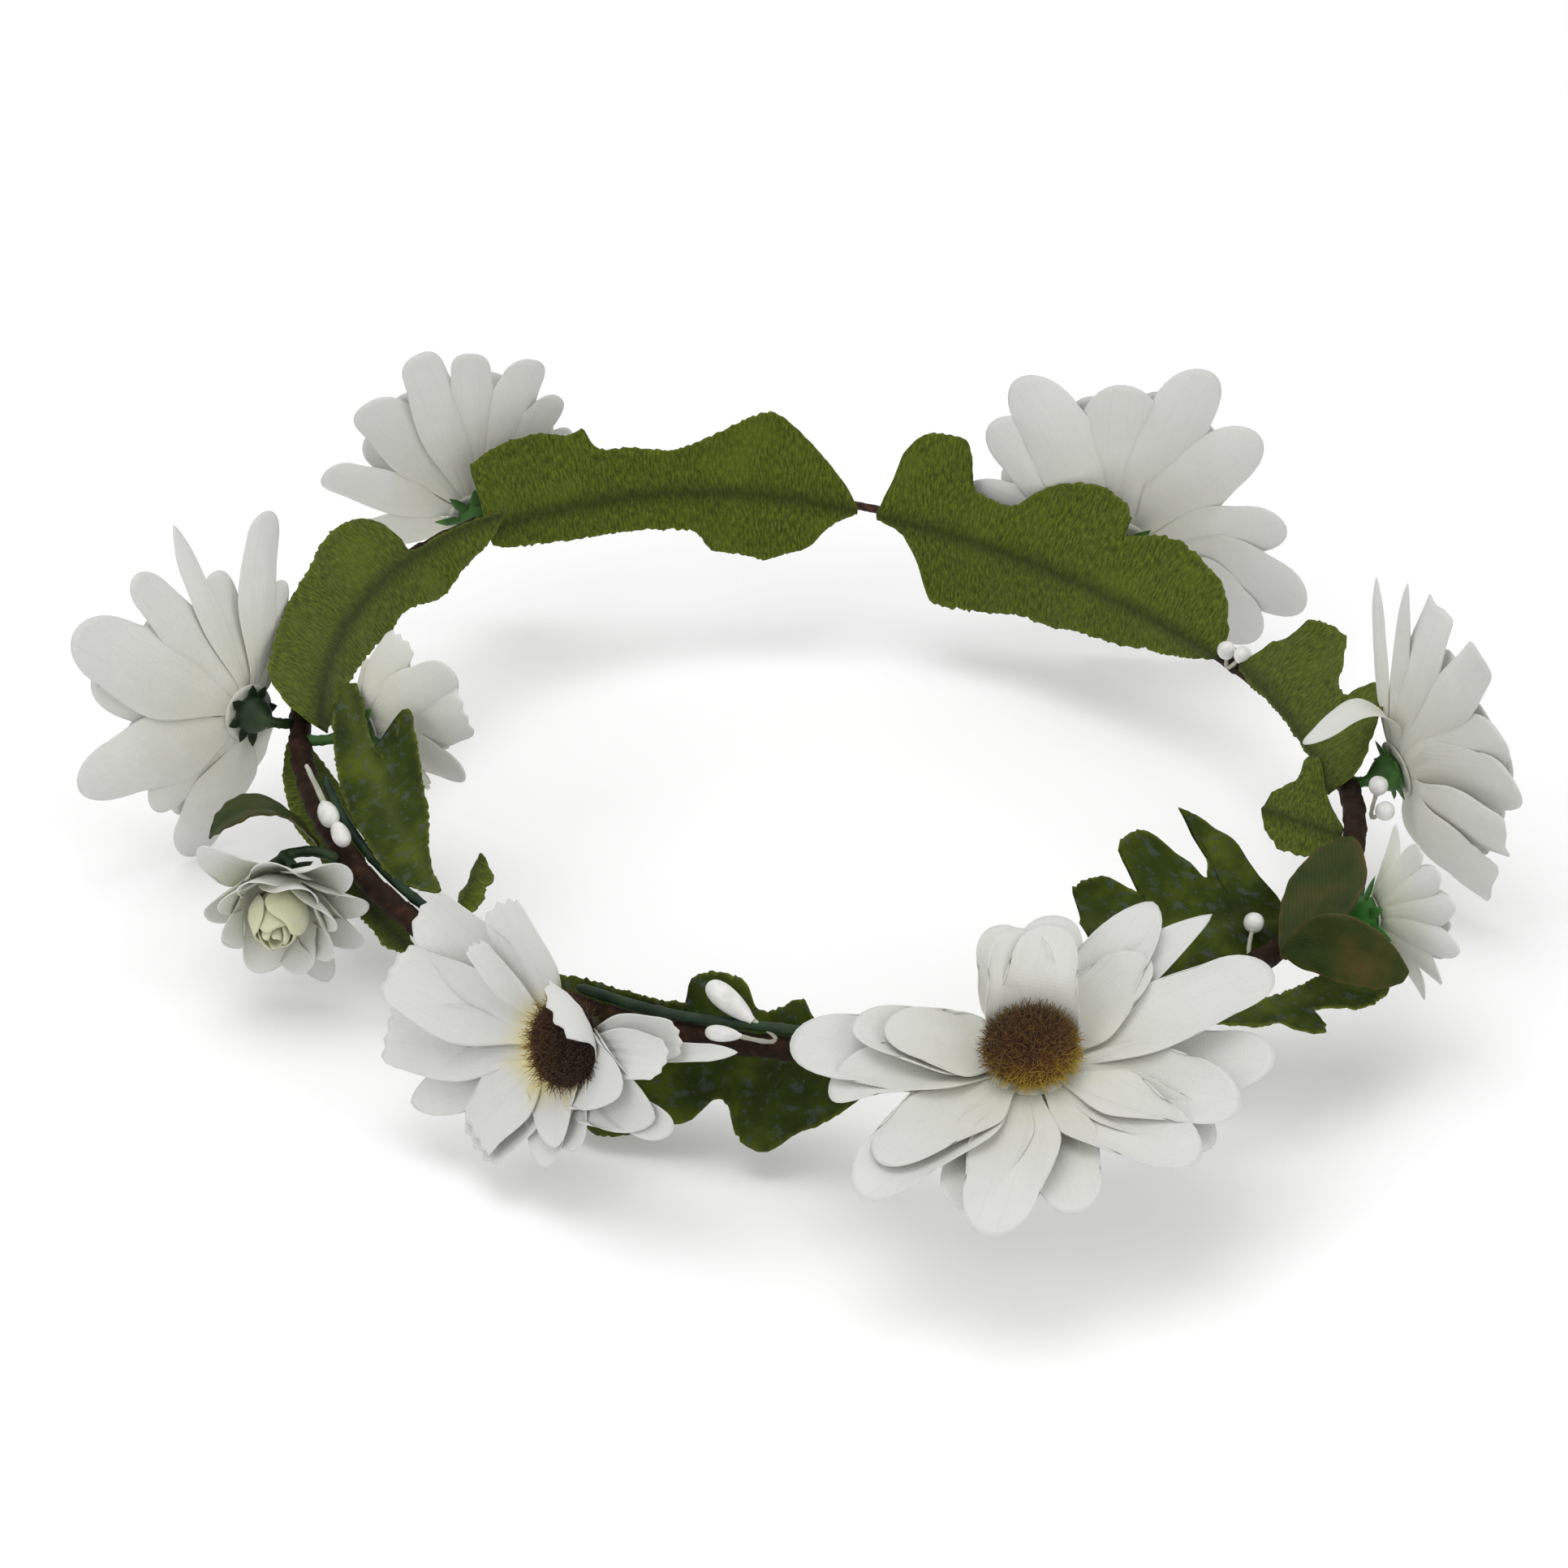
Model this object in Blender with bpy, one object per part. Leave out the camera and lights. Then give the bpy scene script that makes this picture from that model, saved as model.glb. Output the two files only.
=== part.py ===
"""A flower crown: a taped wire ring for the head, with nine fabric flowers, lobed leaves,
oval leaves and pearl berries wired round it. Design values are millimetres and degrees.

Everything on the crown is placed from the ring: an angle round it seen from above (0 is +X,
-90 is the front), how far outside the ring's centre line, and how far above it.
"""

import math

import bmesh
import bpy
from mathutils import Vector

MM = 0.001

# Ring
HEAD_ROUND = 556.0  # length of the ring's centre line, a head size
RING_OVAL = 6.0  # how much longer and narrower the ring is than a circle
RING_LEAN = 4.0  # one side of the ring lies this much higher
RING_TWIST = 3.0
LEAN_TOWARDS = 127.0
LONG_AXIS = 135.0
GAP = 0.35  # between pieces that touch
WIRE_RADIUS = 0.8
TAPE_THICKNESS = 0.8
TAPE_RADIUS = WIRE_RADIUS + GAP + TAPE_THICKNESS
SPLICE_AT = 84.0  # the tape stops here and leaves the thin papered wire bare
SPLICE_HALF = 2.2  # degrees
STRAND_RADIUS = 0.9
STRAND_STEP = 7.0  # degrees round the ring between a strand's points
RING_POINTS = 48

# Flowers
PETAL_THICKNESS = 0.7
LAYER_CLEAR = 0.6  # between one layer of petals and the next
LAYER_PITCH = PETAL_THICKNESS + LAYER_CLEAR
PETAL_REACH = 1.0  # scale of every petal's length
PETAL_MIDDLE = 0.58  # of a petal's length: where its widest part is
THROAT_STEP = 0.4  # how much narrower the flat middle of each next layer is
LAYER_HOLE = 2.0  # radius of the hole for the stalk
LAYER_WEB = 2.5  # how far a layer reaches past its flat middle between petals
MIDWAY = 0.5  # of the way from flat middle to tip, where a layer has its next row of points
LIFT_NEAR = 4.0  # degrees: nearer than this, neighbours' lifts are shared evenly
LIFT_FALL = 3  # how fast a petal's share of the lift falls with its distance
SPOKE_STEP = 45  # degrees between the points that every layer has
LEAST_STEP = 3.5  # degrees between a layer's points
PETAL_POINTS = (-1.1, -0.85, 0, 0.85, 1.1)  # of a petal's half angle: where its outline has points
CORE_SIDES = 10
CORE_PROFILE = [(0.0, 0.02), (0.0, 0.94), (0.45, 1.0), (0.85, 0.62), (1.0, 0.02)]
SEPAL_CUP_DEPTH = 5.0
SEPAL_CUP_RADIUS = 3.6
SEPAL_CUP_PROFILE = [(1.0, 0.42), (0.7, 0.8), (0.35, 1.0), (0.0, 0.95)]
STALK_RADIUS = 0.9
STALK_SAG = 0.15  # of the stalk's length: how far it bows away from the flower

# Leaves and berries
LEAF_THICKNESS = 0.8
BERRY_RADIUS = 1.65
BERRY_PROFILE = [(-1.0, 0.25), (-0.6, 0.8), (0.0, 1.0), (0.6, 0.8)]
THREAD_START = 0.5  # of a berry's half length: from its last ring to the thread
THREAD_RADIUS = 0.35

# name: place on the ring (angle, out, up), way it faces (angle, elevation), throat radius,
# core (radius, height), layers of petals (angle, length, width, lift)
FLOWERS = {
    "daisy_front_right": {
        "at": (-73, 14, 4), "faces": (-100, 79), "throat": 7.8, "core": (7.2, 6.5),
        "layers": [
            [(184, 37, 15, 2), (239, 37, 14, 2), (272, 35, 14, 2), (326, 31, 15, 2),
             (0, 34, 15, 3), (50, 40, 13, 16), (92, 30, 15, 18)],
            [(200, 28, 13, 3), (236, 30, 13, 3), (258, 30, 11, 3), (291, 31, 14, 3),
             (338, 32, 12, 3), (8, 37, 14, 5), (26, 39, 12, 14), (63, 35, 13, 17),
             (104, 29, 14, 20), (160, 29, 13, 7)],
            [(168, 28, 13, 8), (142, 24, 12, 12), (326, 29, 15, 5), (285, 22, 11, 5),
             (220, 22, 11, 6), (80, 21, 14, 45)],
        ],
    },
    "cosmos_front_left": {
        "at": (-115, 14, 2), "faces": (-134, 23), "throat": 6.6, "core": (6.2, 4.0),
        "layers": [
            [(151, 32, 13, 16), (177, 33, 13, 16), (202, 31, 13, 16), (223, 28, 12, 16),
             (254, 22, 12, 16), (289, 21, 12, 14), (322, 19, 11, 10), (10, 25, 12, 6),
             (28, 26, 11, 7), (126, 25, 12, 18)],
            [(140, 26, 11, 24), (190, 28, 13, 22), (250, 20, 12, 22), (296, 19, 12, 24),
             (345, 22, 14, 22), (20, 23, 11, 14), (95, 17, 12, 52)],
        ],
    },
    "rosette_left": {
        "at": (-157, 12, -1.5), "faces": (-92, -22), "throat": 3.6, "core": (4.6, 8.5),
        "layers": [
            [(128, 17, 8, 12), (177, 15, 8, 24), (215, 17, 8, 28), (261, 20, 8, 28),
             (303, 20, 8, 28), (345, 16, 8, 26), (30, 14, 9, 15), (78, 14, 9, 6)],
            [(150, 13, 7, 34), (200, 14, 8, 42), (240, 16, 8, 44), (282, 17, 8, 44),
             (325, 16, 8, 42), (10, 13, 8, 34), (55, 13, 9, 26), (103, 13, 9, 20)],
        ],
    },
    "daisy_left": {
        "at": (176, 9, 2), "faces": (135, -4), "throat": 5.6, "core": (5.2, 4.5),
        "layers": [
            [(37, 35, 15, 25), (69, 32, 9, 25), (85, 35, 5, 25), (122, 36, 10, 26),
             (141, 27, 8, 32), (347, 32, 15, 25), (318, 24, 11, 28), (284, 32, 13, 24),
             (250, 20, 11, 36)],
            [(24, 28, 13, 31), (55, 24, 11, 31), (100, 25, 11, 31), (355, 21, 12, 33),
             (328, 20, 11, 35), (300, 24, 11, 31)],
        ],
    },
    "daisy_back_left": {
        "at": (128, 9, -2), "faces": (108, 19), "throat": 5.4, "core": (5.0, 4.5),
        "layers": [
            [(13, 29, 10, 22), (53, 31, 12, 22), (74, 35, 10, 22), (92, 33, 9, 22),
             (113, 32, 11, 22), (135, 27, 10, 24), (160, 24, 10, 26), (335, 25, 9, 18),
             (200, 22, 11, 30), (240, 20, 11, 32)],
            [(35, 25, 11, 30), (62, 27, 11, 30), (102, 27, 11, 30), (146, 22, 10, 32),
             (180, 18, 10, 38)],
        ],
    },
    "daisy_inner_left": {
        "at": (179, -11.5, 3), "faces": (34, 7), "throat": 4.4, "core": (3.6, 3.0),
        "layers": [
            [(140, 25, 10, 28), (160, 25, 12, 28), (195, 21, 10, 28), (100, 19, 10, 30),
             (235, 16, 10, 32), (280, 12, 9, 38), (60, 12, 9, 38)],
            [(150, 18, 10, 38), (178, 17, 10, 38), (118, 15, 9, 40), (215, 14, 9, 42)],
        ],
    },
    "daisy_back_right": {
        "at": (53, 9, 4), "faces": (83, 14), "throat": 6.0, "core": (5.6, 5.0),
        "layers": [
            [(5, 32, 13, 19), (40, 33, 13, 19), (60, 37, 13, 19), (87, 32, 16, 19),
             (111, 38, 13, 19), (138, 33, 14, 19), (180, 31, 13, 15), (205, 38, 15, 8),
             (226, 34, 14, 7), (262, 22, 13, 16), (300, 20, 12, 22), (335, 24, 12, 22)],
            [(22, 26, 12, 26), (72, 29, 13, 26), (100, 30, 13, 26), (126, 28, 12, 26),
             (196, 27, 12, 22), (218, 28, 12, 18)],
        ],
    },
    "daisy_right": {
        "at": (-3, 8.5, 3), "faces": (22, 12), "throat": 5.6, "core": (5.2, 4.5),
        "layers": [
            [(64, 33, 5, 14), (82, 34, 6, 16), (97, 33, 10, 20), (122, 36, 10, 20),
             (145, 28, 12, 26), (166, 28, 13, 25), (190, 26, 12, 22), (214, 26, 13, 20),
             (246, 20, 12, 26)],
            [(108, 26, 11, 28), (136, 25, 12, 32), (158, 25, 12, 32), (184, 22, 12, 30),
             (220, 21, 12, 28)],
        ],
    },
    "rosette_right": {
        "at": (-31, 9.5, 2), "faces": (10, 3), "throat": 3.6, "core": (4.4, 8.0),
        "layers": [
            [(60, 15, 8, 26), (100, 16, 9, 30), (125, 18, 9, 32), (150, 19, 9, 34),
             (176, 19, 9, 34), (202, 17, 9, 32), (236, 16, 9, 30), (275, 13, 8, 30),
             (320, 12, 8, 32), (15, 12, 8, 30)],
            [(85, 13, 8, 46), (113, 14, 8, 48), (140, 15, 8, 48), (166, 15, 8, 48),
             (192, 14, 8, 46), (225, 13, 8, 46), (262, 11, 8, 46)],
        ],
    },
}

# name: places of the base, the middle and the tip on the ring, way across (out, along, up),
# stations down the midrib (distance, half width on one side, half width on the other)
LEAVES = {
    "leaf_back_left": {
        "midrib": [(85, -4, 1), (108, -5, 2), (131, -4, 1)], "across": (0.35, 0, 0.94),
        "stations": [(1, 1, 1), (5, 8, 5), (12, 15, 10), (22, 13, 12), (30, 9, 10),
                     (38, 8, 7), (50, 11, 7), (60, 15, 6), (70, 13, 4)],
    },
    "leaf_back_right": {
        "midrib": [(82.5, -4, 1), (58, -5, 2), (30, -4, 2)], "across": (0.35, 0, 0.94),
        "stations": [(1, 1, 1), (4, 9, 3), (8, 15, 8), (14, 17, 14), (18, 10, 14),
                     (28, 9, 12), (38, 16, 10), (48, 15, 9), (60, 13, 6), (68, 11, 3),
                     (75, 4, 1)],
    },
    "leaf_left_upper": {
        "midrib": [(127, -5, 4), (149, -5, 5), (172, -4, 5)], "across": (0.7, 0, 0.7),
        "stations": [(5, 1, 3), (11, 1, 5), (20, 1, 7), (28, 2, 9), (34, 6, 8),
                     (42, 11, 7), (54, 11, 7), (66, 11, 6), (76, 10, 4), (80, 6, 1)],
    },
    "leaf_left_inner": {
        "midrib": [(-144, -6, 3), (-160, -9, 5), (-178, -9, 8)], "across": (-0.9, 0, 0.4),
        "stations": [(1, 1, 1), (8, 3, 3), (19, 6, 3), (30, 8, 3), (36, 8, 3),
                     (41, 2, 3), (50, 1, 2)],
    },
    "leaf_left_lower": {
        "midrib": [(-143, 0, -6), (-160, -2, -7), (176, 0, -7)], "across": (1, 0, -0.2),
        "stations": [(0, 1, 1), (10, 2, 2), (22, 2, 3), (36, 3, 3), (50, 4, 4),
                     (61, 3, 3), (66, 1, 1)],
    },
    "leaf_tip_left": {
        "midrib": [(-137, -4, 3), (-138, -8, 6), (-140, -12, 8)], "across": (0, 1, 0.2),
        "stations": [(0, 1, 1), (3, 3, 2), (7, 4, 2), (11, 1, 1)],
    },
    "leaf_front": {
        "midrib": [(-82, -5, -4), (-105, -5, -4), (-128, -5, -4)], "across": (-0.5, 0, 0.87),
        "stations": [(0, 3, 3), (6, 6, 7), (13, 8, 12), (20, 7, 16), (26, 10, 10),
                     (33, 9, 13), (42, 6, 17), (48, 5, 16), (60, 4, 6)],
    },
    "leaf_right_front": {
        "midrib": [(-36, -4, 1), (-47, -14, 3), (-58, -24, 4)], "across": (-0.7, 0, 0.7),
        "stations": [(0, 9, 2), (3, 17, 4), (8, 12, 7), (14, 16, 10), (20, 13, 12),
                     (26, 9, 8), (32, 4, 3)],
    },
    "leaf_right_lower": {
        "midrib": [(-52, 4, -3), (-40, 9, -4), (-28, 12, -6)], "across": (1, 0, -0.3),
        "stations": [(0, 2, 1), (9, 4, 2), (12, 8, 2), (16, 4, 2), (24, 6, 2), (32, 5, 2),
                     (36, 2, 1)],
    },
    "leaf_right_upper": {
        "midrib": [(-6, -3.6, 1), (8, -5, 3), (23, -4, 4)], "across": (0.6, 0, 0.75),
        "stations": [(0, 5, 1), (5, 11, 1), (11, 16, 1), (17, 12, 1), (23, 9, 1),
                     (28, 15, 1), (36, 13, 2), (41, 6, 1)],
    },
    "leaf_right_inner": {
        "midrib": [(-14, -3, -1), (-12, -9, -1), (-10, -15, -1)], "across": (0, 1, 0.3),
        "stations": [(0, 2, 2), (4, 9, 4), (7, 16, 6), (10, 8, 6), (13, 3, 4)],
    },
    "oval_leaf_left": {
        "midrib": [(-162, 3, 1), (-165, 11, 8), (-165, 20, 4)], "across": (0, 0.97, 0.25),
        "stations": [(0, 1, 1), (5, 5, 5), (11, 6, 6), (17, 5, 5), (21, 1, 1)],
    },
    "oval_leaf_right_upper": {
        "midrib": [(-42, 3, 1), (-36, 3.5, 7), (-28, 3, 13)], "across": (1, 0, 0),
        "stations": [(0, 1, 1), (6, 4, 4), (13, 5, 5), (20, 4, 4), (25, 1, 1)],
    },
    "oval_leaf_right_lower": {
        "midrib": [(-43, 4, 3), (-40, 13, 4), (-38, 22, 1)], "across": (-0.3, 0, 0.95),
        "stations": [(0, 1, 1), (5, 4, 4), (11, 5, 5), (16, 4, 4), (20, 1, 1)],
    },
}


def unit(angle):
    """The level direction at this angle."""
    return Vector((math.cos(math.radians(angle)), math.sin(math.radians(angle)), 0))


def wave(angle, towards):
    return math.cos(math.radians(angle - towards))


def on_ring(angle, out=0.0, up=0.0):
    """A point placed from the ring's centre line."""
    radius = HEAD_ROUND / math.tau + RING_OVAL * wave(2 * angle, 2 * LONG_AXIS)
    height = RING_LEAN * wave(angle, LEAN_TOWARDS)
    height += RING_TWIST * wave(2 * angle, 2 * LEAN_TOWARDS)
    return unit(angle) * (radius + out) + Vector((0, 0, height + up))


def way(angle, out, along, up):
    """A direction given from the ring at this angle."""
    return (unit(angle) * out + unit(angle + 90) * along + Vector((0, 0, up))).normalized()


def material(name, colour, roughness=0.8):
    made = bpy.data.materials.get(name) or bpy.data.materials.new(name)
    made.use_nodes = True
    shader = made.node_tree.nodes["Principled BSDF"]
    shader.inputs["Base Color"].default_value = (*colour, 1)
    shader.inputs["Roughness"].default_value = roughness
    shader.inputs["Metallic"].default_value = 0.0
    return made


def add(name, data, look):
    data.materials.append(look)
    made = bpy.data.objects.new(name, data)
    bpy.context.scene.collection.objects.link(made)
    return made


def sheet(name, grid, thickness, look, closed=False):
    """A thin solid from rows of points; each row has as many points as the next."""
    shape = bmesh.new()
    rows = [[shape.verts.new(point * MM) for point in row] for row in grid]
    count = len(rows[0])
    for row, after in zip(rows, rows[1:]):
        for k in range(count if closed else count - 1):
            n = (k + 1) % count
            shape.faces.new((row[k], row[n], after[n], after[k]))
    if closed:
        shape.faces.new(rows[0][::-1])
    bmesh.ops.recalc_face_normals(shape, faces=shape.faces)
    data = bpy.data.meshes.new(name)
    shape.to_mesh(data)
    shape.free()
    made = add(name, data, look)
    solid = made.modifiers.new("thickness", "SOLIDIFY")
    solid.thickness = thickness * MM
    solid.offset = 0
    return made


def tube(name, points, radii, look, closed=False, sides=1, wall=0.0):
    """A bevelled curve through the points; a wall makes it hollow, with open ends."""
    data = bpy.data.curves.new(name, "CURVE")
    data.dimensions = "3D"
    data.bevel_depth = MM
    data.bevel_resolution = sides
    data.use_fill_caps = not wall
    spline = data.splines.new("POLY")
    spline.use_cyclic_u = closed
    spline.points.add(len(points) - 1)
    for point, place, radius in zip(spline.points, points, radii):
        point.co = (*(place * MM), 1)
        point.radius = radius
    made = add(name, data, look)
    if wall:
        shell = made.modifiers.new("wall", "SOLIDIFY")
        shell.thickness = wall * MM
        shell.offset = -1
    return made


def bend(start, middle, end, steps):
    """Points on a smooth bend that passes through its middle."""
    pull = 2 * middle - (start + end) / 2
    places = [k / steps for k in range(steps + 1)]
    return [(1 - t) ** 2 * start + 2 * t * (1 - t) * pull + t * t * end for t in places]


def make_ring(wire, tape):
    around = [360 * k / RING_POINTS for k in range(RING_POINTS)]
    tube("core_wire", [on_ring(a) for a in around], [WIRE_RADIUS] * RING_POINTS, wire,
         closed=True)
    start = SPLICE_AT + SPLICE_HALF
    step = (360 - 2 * SPLICE_HALF) / RING_POINTS
    wrapped = [on_ring(start + step * k) for k in range(RING_POINTS + 1)]
    tube("stem_tape", wrapped, [TAPE_RADIUS] * len(wrapped), tape, wall=TAPE_THICKNESS)


def make_strand(name, first, last, side, look):
    """A leaf stem laid along the taped ring."""
    clear = TAPE_RADIUS + STRAND_RADIUS + GAP
    steps = max(4, round(abs(last - first) / STRAND_STEP))
    angles = [first + (last - first) * k / steps for k in range(steps + 1)]
    points = [on_ring(a, clear * side[0], clear * side[1]) for a in angles]
    tube(name, points, [STRAND_RADIUS] * len(points), look)


class Flower:
    """A flower's place, the way it faces and the two directions across it."""

    def __init__(self, name, design):
        self.name = name
        self.design = design
        self.foot = on_ring(*design["at"])
        angle, rise = design["faces"]
        level = math.cos(math.radians(rise))
        self.facing = unit(angle) * level + Vector((0, 0, math.sin(math.radians(rise))))
        self.side = Vector((0, 0, 1)).cross(self.facing).normalized()
        self.top = self.facing.cross(self.side)

    def point(self, angle, radius, height):
        turn = math.radians(angle)
        across = self.side * math.cos(turn) + self.top * math.sin(turn)
        return self.foot + across * radius + self.facing * height


def oval(length, width):
    """Where a petal's oval outline has its middle, and its two half sizes."""
    return PETAL_MIDDLE * length, (1 - PETAL_MIDDLE) * length, width / 2


def edge_radius(angle, petal, throat):
    """How far a petal's rounded outline reaches from the flower's middle at this angle."""
    middle, length, width, _ = petal
    length = length * PETAL_REACH
    off = math.radians((angle - middle + 180) % 360 - 180)
    if abs(off) > math.radians(80):
        return throat
    centre, long, wide = oval(length, width)
    a = (math.cos(off) / long) ** 2 + (math.sin(off) / wide) ** 2
    b = centre * math.cos(off) / long**2
    inside = b * b - a * ((centre / long) ** 2 - 1)
    return throat if inside < 0 else max(throat, (b + math.sqrt(inside)) / a)


def half_angle(petal):
    _, length, width, _ = petal
    length = length * PETAL_REACH
    centre, long, wide = oval(length, width)
    return math.degrees(math.atan(wide / math.sqrt(centre**2 - long**2)))


def lift_at(angle, petals):
    """The petals' lift, shared between neighbours by how near each is."""
    total = share = 0.0
    for middle, _, _, lift in petals:
        off = abs((angle - middle + 180) % 360 - 180)
        near = 1 / (off + LIFT_NEAR) ** LIFT_FALL
        total += near * lift
        share += near
    return total / share


def layer_angles(petals):
    """Angles round a layer where its outline needs a point."""
    wanted = set()
    for petal in petals:
        half = half_angle(petal)
        wanted |= {round((petal[0] + half * k) % 360, 1) for k in PETAL_POINTS}
    wanted |= {float(a) for a in range(0, 360, SPOKE_STEP)}
    kept = []
    for angle in sorted(wanted):
        if not kept or angle - kept[-1] > LEAST_STEP:
            kept.append(angle)
    return kept[:-1] if 360 - kept[-1] < LEAST_STEP / 2 else kept


def make_layer(flower, number, look):
    design = flower.design
    petals = design["layers"][number]
    throat = design["throat"] - THROAT_STEP * number
    base = LAYER_PITCH * number
    rows = [[], [], [], []]
    for angle in layer_angles(petals):
        edge = max(edge_radius(angle, petal, throat + LAYER_WEB) for petal in petals)
        rise = math.radians(lift_at(angle, petals))
        rows[0].append(flower.point(angle, LAYER_HOLE, base))
        rows[1].append(flower.point(angle, throat, base))
        for row, share in ((2, MIDWAY), (3, 1.0)):
            slope = (edge - throat) * share
            radius = throat + slope * math.cos(rise)
            rows[row].append(flower.point(angle, radius, base + slope * math.sin(rise)))
    names = ("outer", "middle", "inner") if len(design["layers"]) > 2 else ("outer", "inner")
    name = f"{flower.name}_petals_{names[number]}"
    return sheet(name, rows, PETAL_THICKNESS, look, closed=True)


def make_core(flower, look):
    """A domed heart that stands on the top layer of petals."""
    radius, height = flower.design["core"]
    count = len(flower.design["layers"])
    base = LAYER_PITCH * (count - 1) + PETAL_THICKNESS / 2 + GAP
    radius = min(radius, flower.design["throat"] - THROAT_STEP * (count - 1) - GAP)
    shape = bmesh.new()
    rings = []
    for rise, share in CORE_PROFILE:
        level = base + height * rise
        around = [360 * k / CORE_SIDES for k in range(CORE_SIDES)]
        ring = [flower.point(angle, radius * share, level) for angle in around]
        rings.append([shape.verts.new(point * MM) for point in ring])
    for low, high in zip(rings, rings[1:]):
        for k in range(CORE_SIDES):
            n = (k + 1) % CORE_SIDES
            shape.faces.new((low[k], low[n], high[n], high[k]))
    shape.faces.new(rings[0][::-1])
    shape.faces.new(rings[-1])
    bmesh.ops.recalc_face_normals(shape, faces=shape.faces)
    data = bpy.data.meshes.new(flower.name + "_core")
    shape.to_mesh(data)
    shape.free()
    return add(flower.name + "_core", data, look)


def make_calyx(flower, look):
    """The green cup under the petals, with its stalk bent down to the ring."""
    top = -PETAL_THICKNESS / 2 - GAP
    cup = [flower.point(0, 0, top - SEPAL_CUP_DEPTH * k) for k, _ in SEPAL_CUP_PROFILE]
    angle = flower.design["at"][0]
    ring = on_ring(angle)
    towards = (cup[0] - ring).normalized()
    start = ring + towards * (TAPE_RADIUS + STALK_RADIUS + GAP)
    pull = (start + cup[0]) / 2 - flower.facing * (cup[0] - start).length * STALK_SAG
    points = bend(start, pull, cup[0], 3)[:-1] + cup
    cup_radii = [SEPAL_CUP_RADIUS * share for _, share in SEPAL_CUP_PROFILE]
    radii = [STALK_RADIUS] * (len(points) - len(cup)) + cup_radii
    return tube(flower.name + "_calyx", points, radii, look, sides=2)


def make_leaf(name, design, look):
    """A lobed blade: three points across at each station down its midrib."""
    base, middle, tip = [on_ring(*place) for place in design["midrib"]]
    across = [way(design["midrib"][k][0], *design["across"]) for k in (0, 2)]
    pull = 2 * middle - (base + tip) / 2
    fine = bend(base, middle, tip, 40)
    length = sum((b - a).length for a, b in zip(fine, fine[1:]))
    rows = []
    for distance, one, other in design["stations"]:
        t = distance / length
        centre = (1 - t) ** 2 * base + 2 * t * (1 - t) * pull + t * t * tip
        wide = (across[0] * (1 - t) + across[1] * t).normalized()
        rows.append([centre - wide * other, centre, centre + wide * one])
    return sheet(name, rows, LEAF_THICKNESS, look)


def make_berries(name, beads, tie, look, stretch=1.0):
    """Two pearl beads on the ends of one thread, which bends past its tie at the ring."""
    first, last = on_ring(*beads[0]), on_ring(*beads[1])
    tied = on_ring(*tie)
    reach = BERRY_RADIUS * stretch
    halves = []
    for bead in (first, last):
        inward = (tied - bead).normalized()
        halves.append([bead + inward * reach * k for k, _ in BERRY_PROFILE])
    inner = [bead[-1] + (tied - bead[0]).normalized() * reach * THREAD_START for bead in halves]
    thread = bend(inner[0], tied, inner[1], 4)
    swell = [BERRY_RADIUS * share for _, share in BERRY_PROFILE]
    radii = swell + [THREAD_RADIUS] * len(thread) + swell[::-1]
    return tube(name, halves[0] + thread + halves[1][::-1], radii, look)


def main():
    for old in list(bpy.data.objects):
        bpy.data.objects.remove(old)
    wire = material("papered wire", (0.09, 0.05, 0.04), 0.85)
    tape = material("brown stem tape", (0.07, 0.03, 0.02), 0.85)
    stem = material("green stem", (0.02, 0.06, 0.02), 0.45)
    white = material("white petal cloth", (0.72, 0.73, 0.68), 0.75)
    brown = material("brown flock", (0.07, 0.03, 0.01), 0.95)
    heart = material("green white heart", (0.62, 0.66, 0.40), 0.7)
    sepal = material("sepal green", (0.04, 0.14, 0.03), 0.6)
    leaf_green = material("leaf cloth", (0.07, 0.11, 0.01), 0.8)
    oval_green = material("oval leaf", (0.05, 0.06, 0.01), 0.45)
    pearl = material("pearl", (0.78, 0.78, 0.74), 0.25)

    make_ring(wire, tape)
    make_strand("green_strand_left", -172, -132, (-0.9, 0.44), stem)
    make_strand("green_strand_front", -118, -92, (-0.2, 0.98), stem)
    for name, design in FLOWERS.items():
        flower = Flower(name, design)
        make_calyx(flower, sepal)
        for number in range(len(design["layers"])):
            make_layer(flower, number, white)
        make_core(flower, heart if "rosette" in name else brown)
    for name, design in LEAVES.items():
        make_leaf(name, design, oval_green if "oval" in name else leaf_green)
    make_berries("berries_back_right", [(26, -4, 4.5), (23.5, -3, 5)], (26, -3.5, 1), pearl)
    make_berries("berries_right", [(-8, 4, 4), (-10, 5, 1)], (-9, 3, -1), pearl)
    make_berries("berry_right_front", [(-40, -5, 5), (-44, -0.5, -4.3)], (-42.5, -3, 0), pearl)
    make_berries("berries_left", [(-160, 1.5, 6), (-166, 1.5, 6.5)], (-172, -0.5, 4), pearl, 1.5)
    make_berries("berries_front", [(-100, -2, 6), (-100, 4, 4)], (-94, 2, 4), pearl, 1.8)


main()
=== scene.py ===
# %% [markdown]
# # A flower crown
#
# A flower crown is a wire ring, bound with paper tape, with flowers, leaves and berries wired
# onto it. Each of them is thin: petals are cut from stiffened cloth and pressed over a warm
# mould, leaves are printed on a fuzzy cloth with a wire down the middle. So the lesson is about
# thin shapes: how to give a flat cut its bowl, its creases and its rough edge.
#
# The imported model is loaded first. It fixes every place and size, and each piece made below
# takes the place of one of its nodes.

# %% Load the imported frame
import math
import random

import bmesh
import bpy
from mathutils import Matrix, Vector, noise


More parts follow.
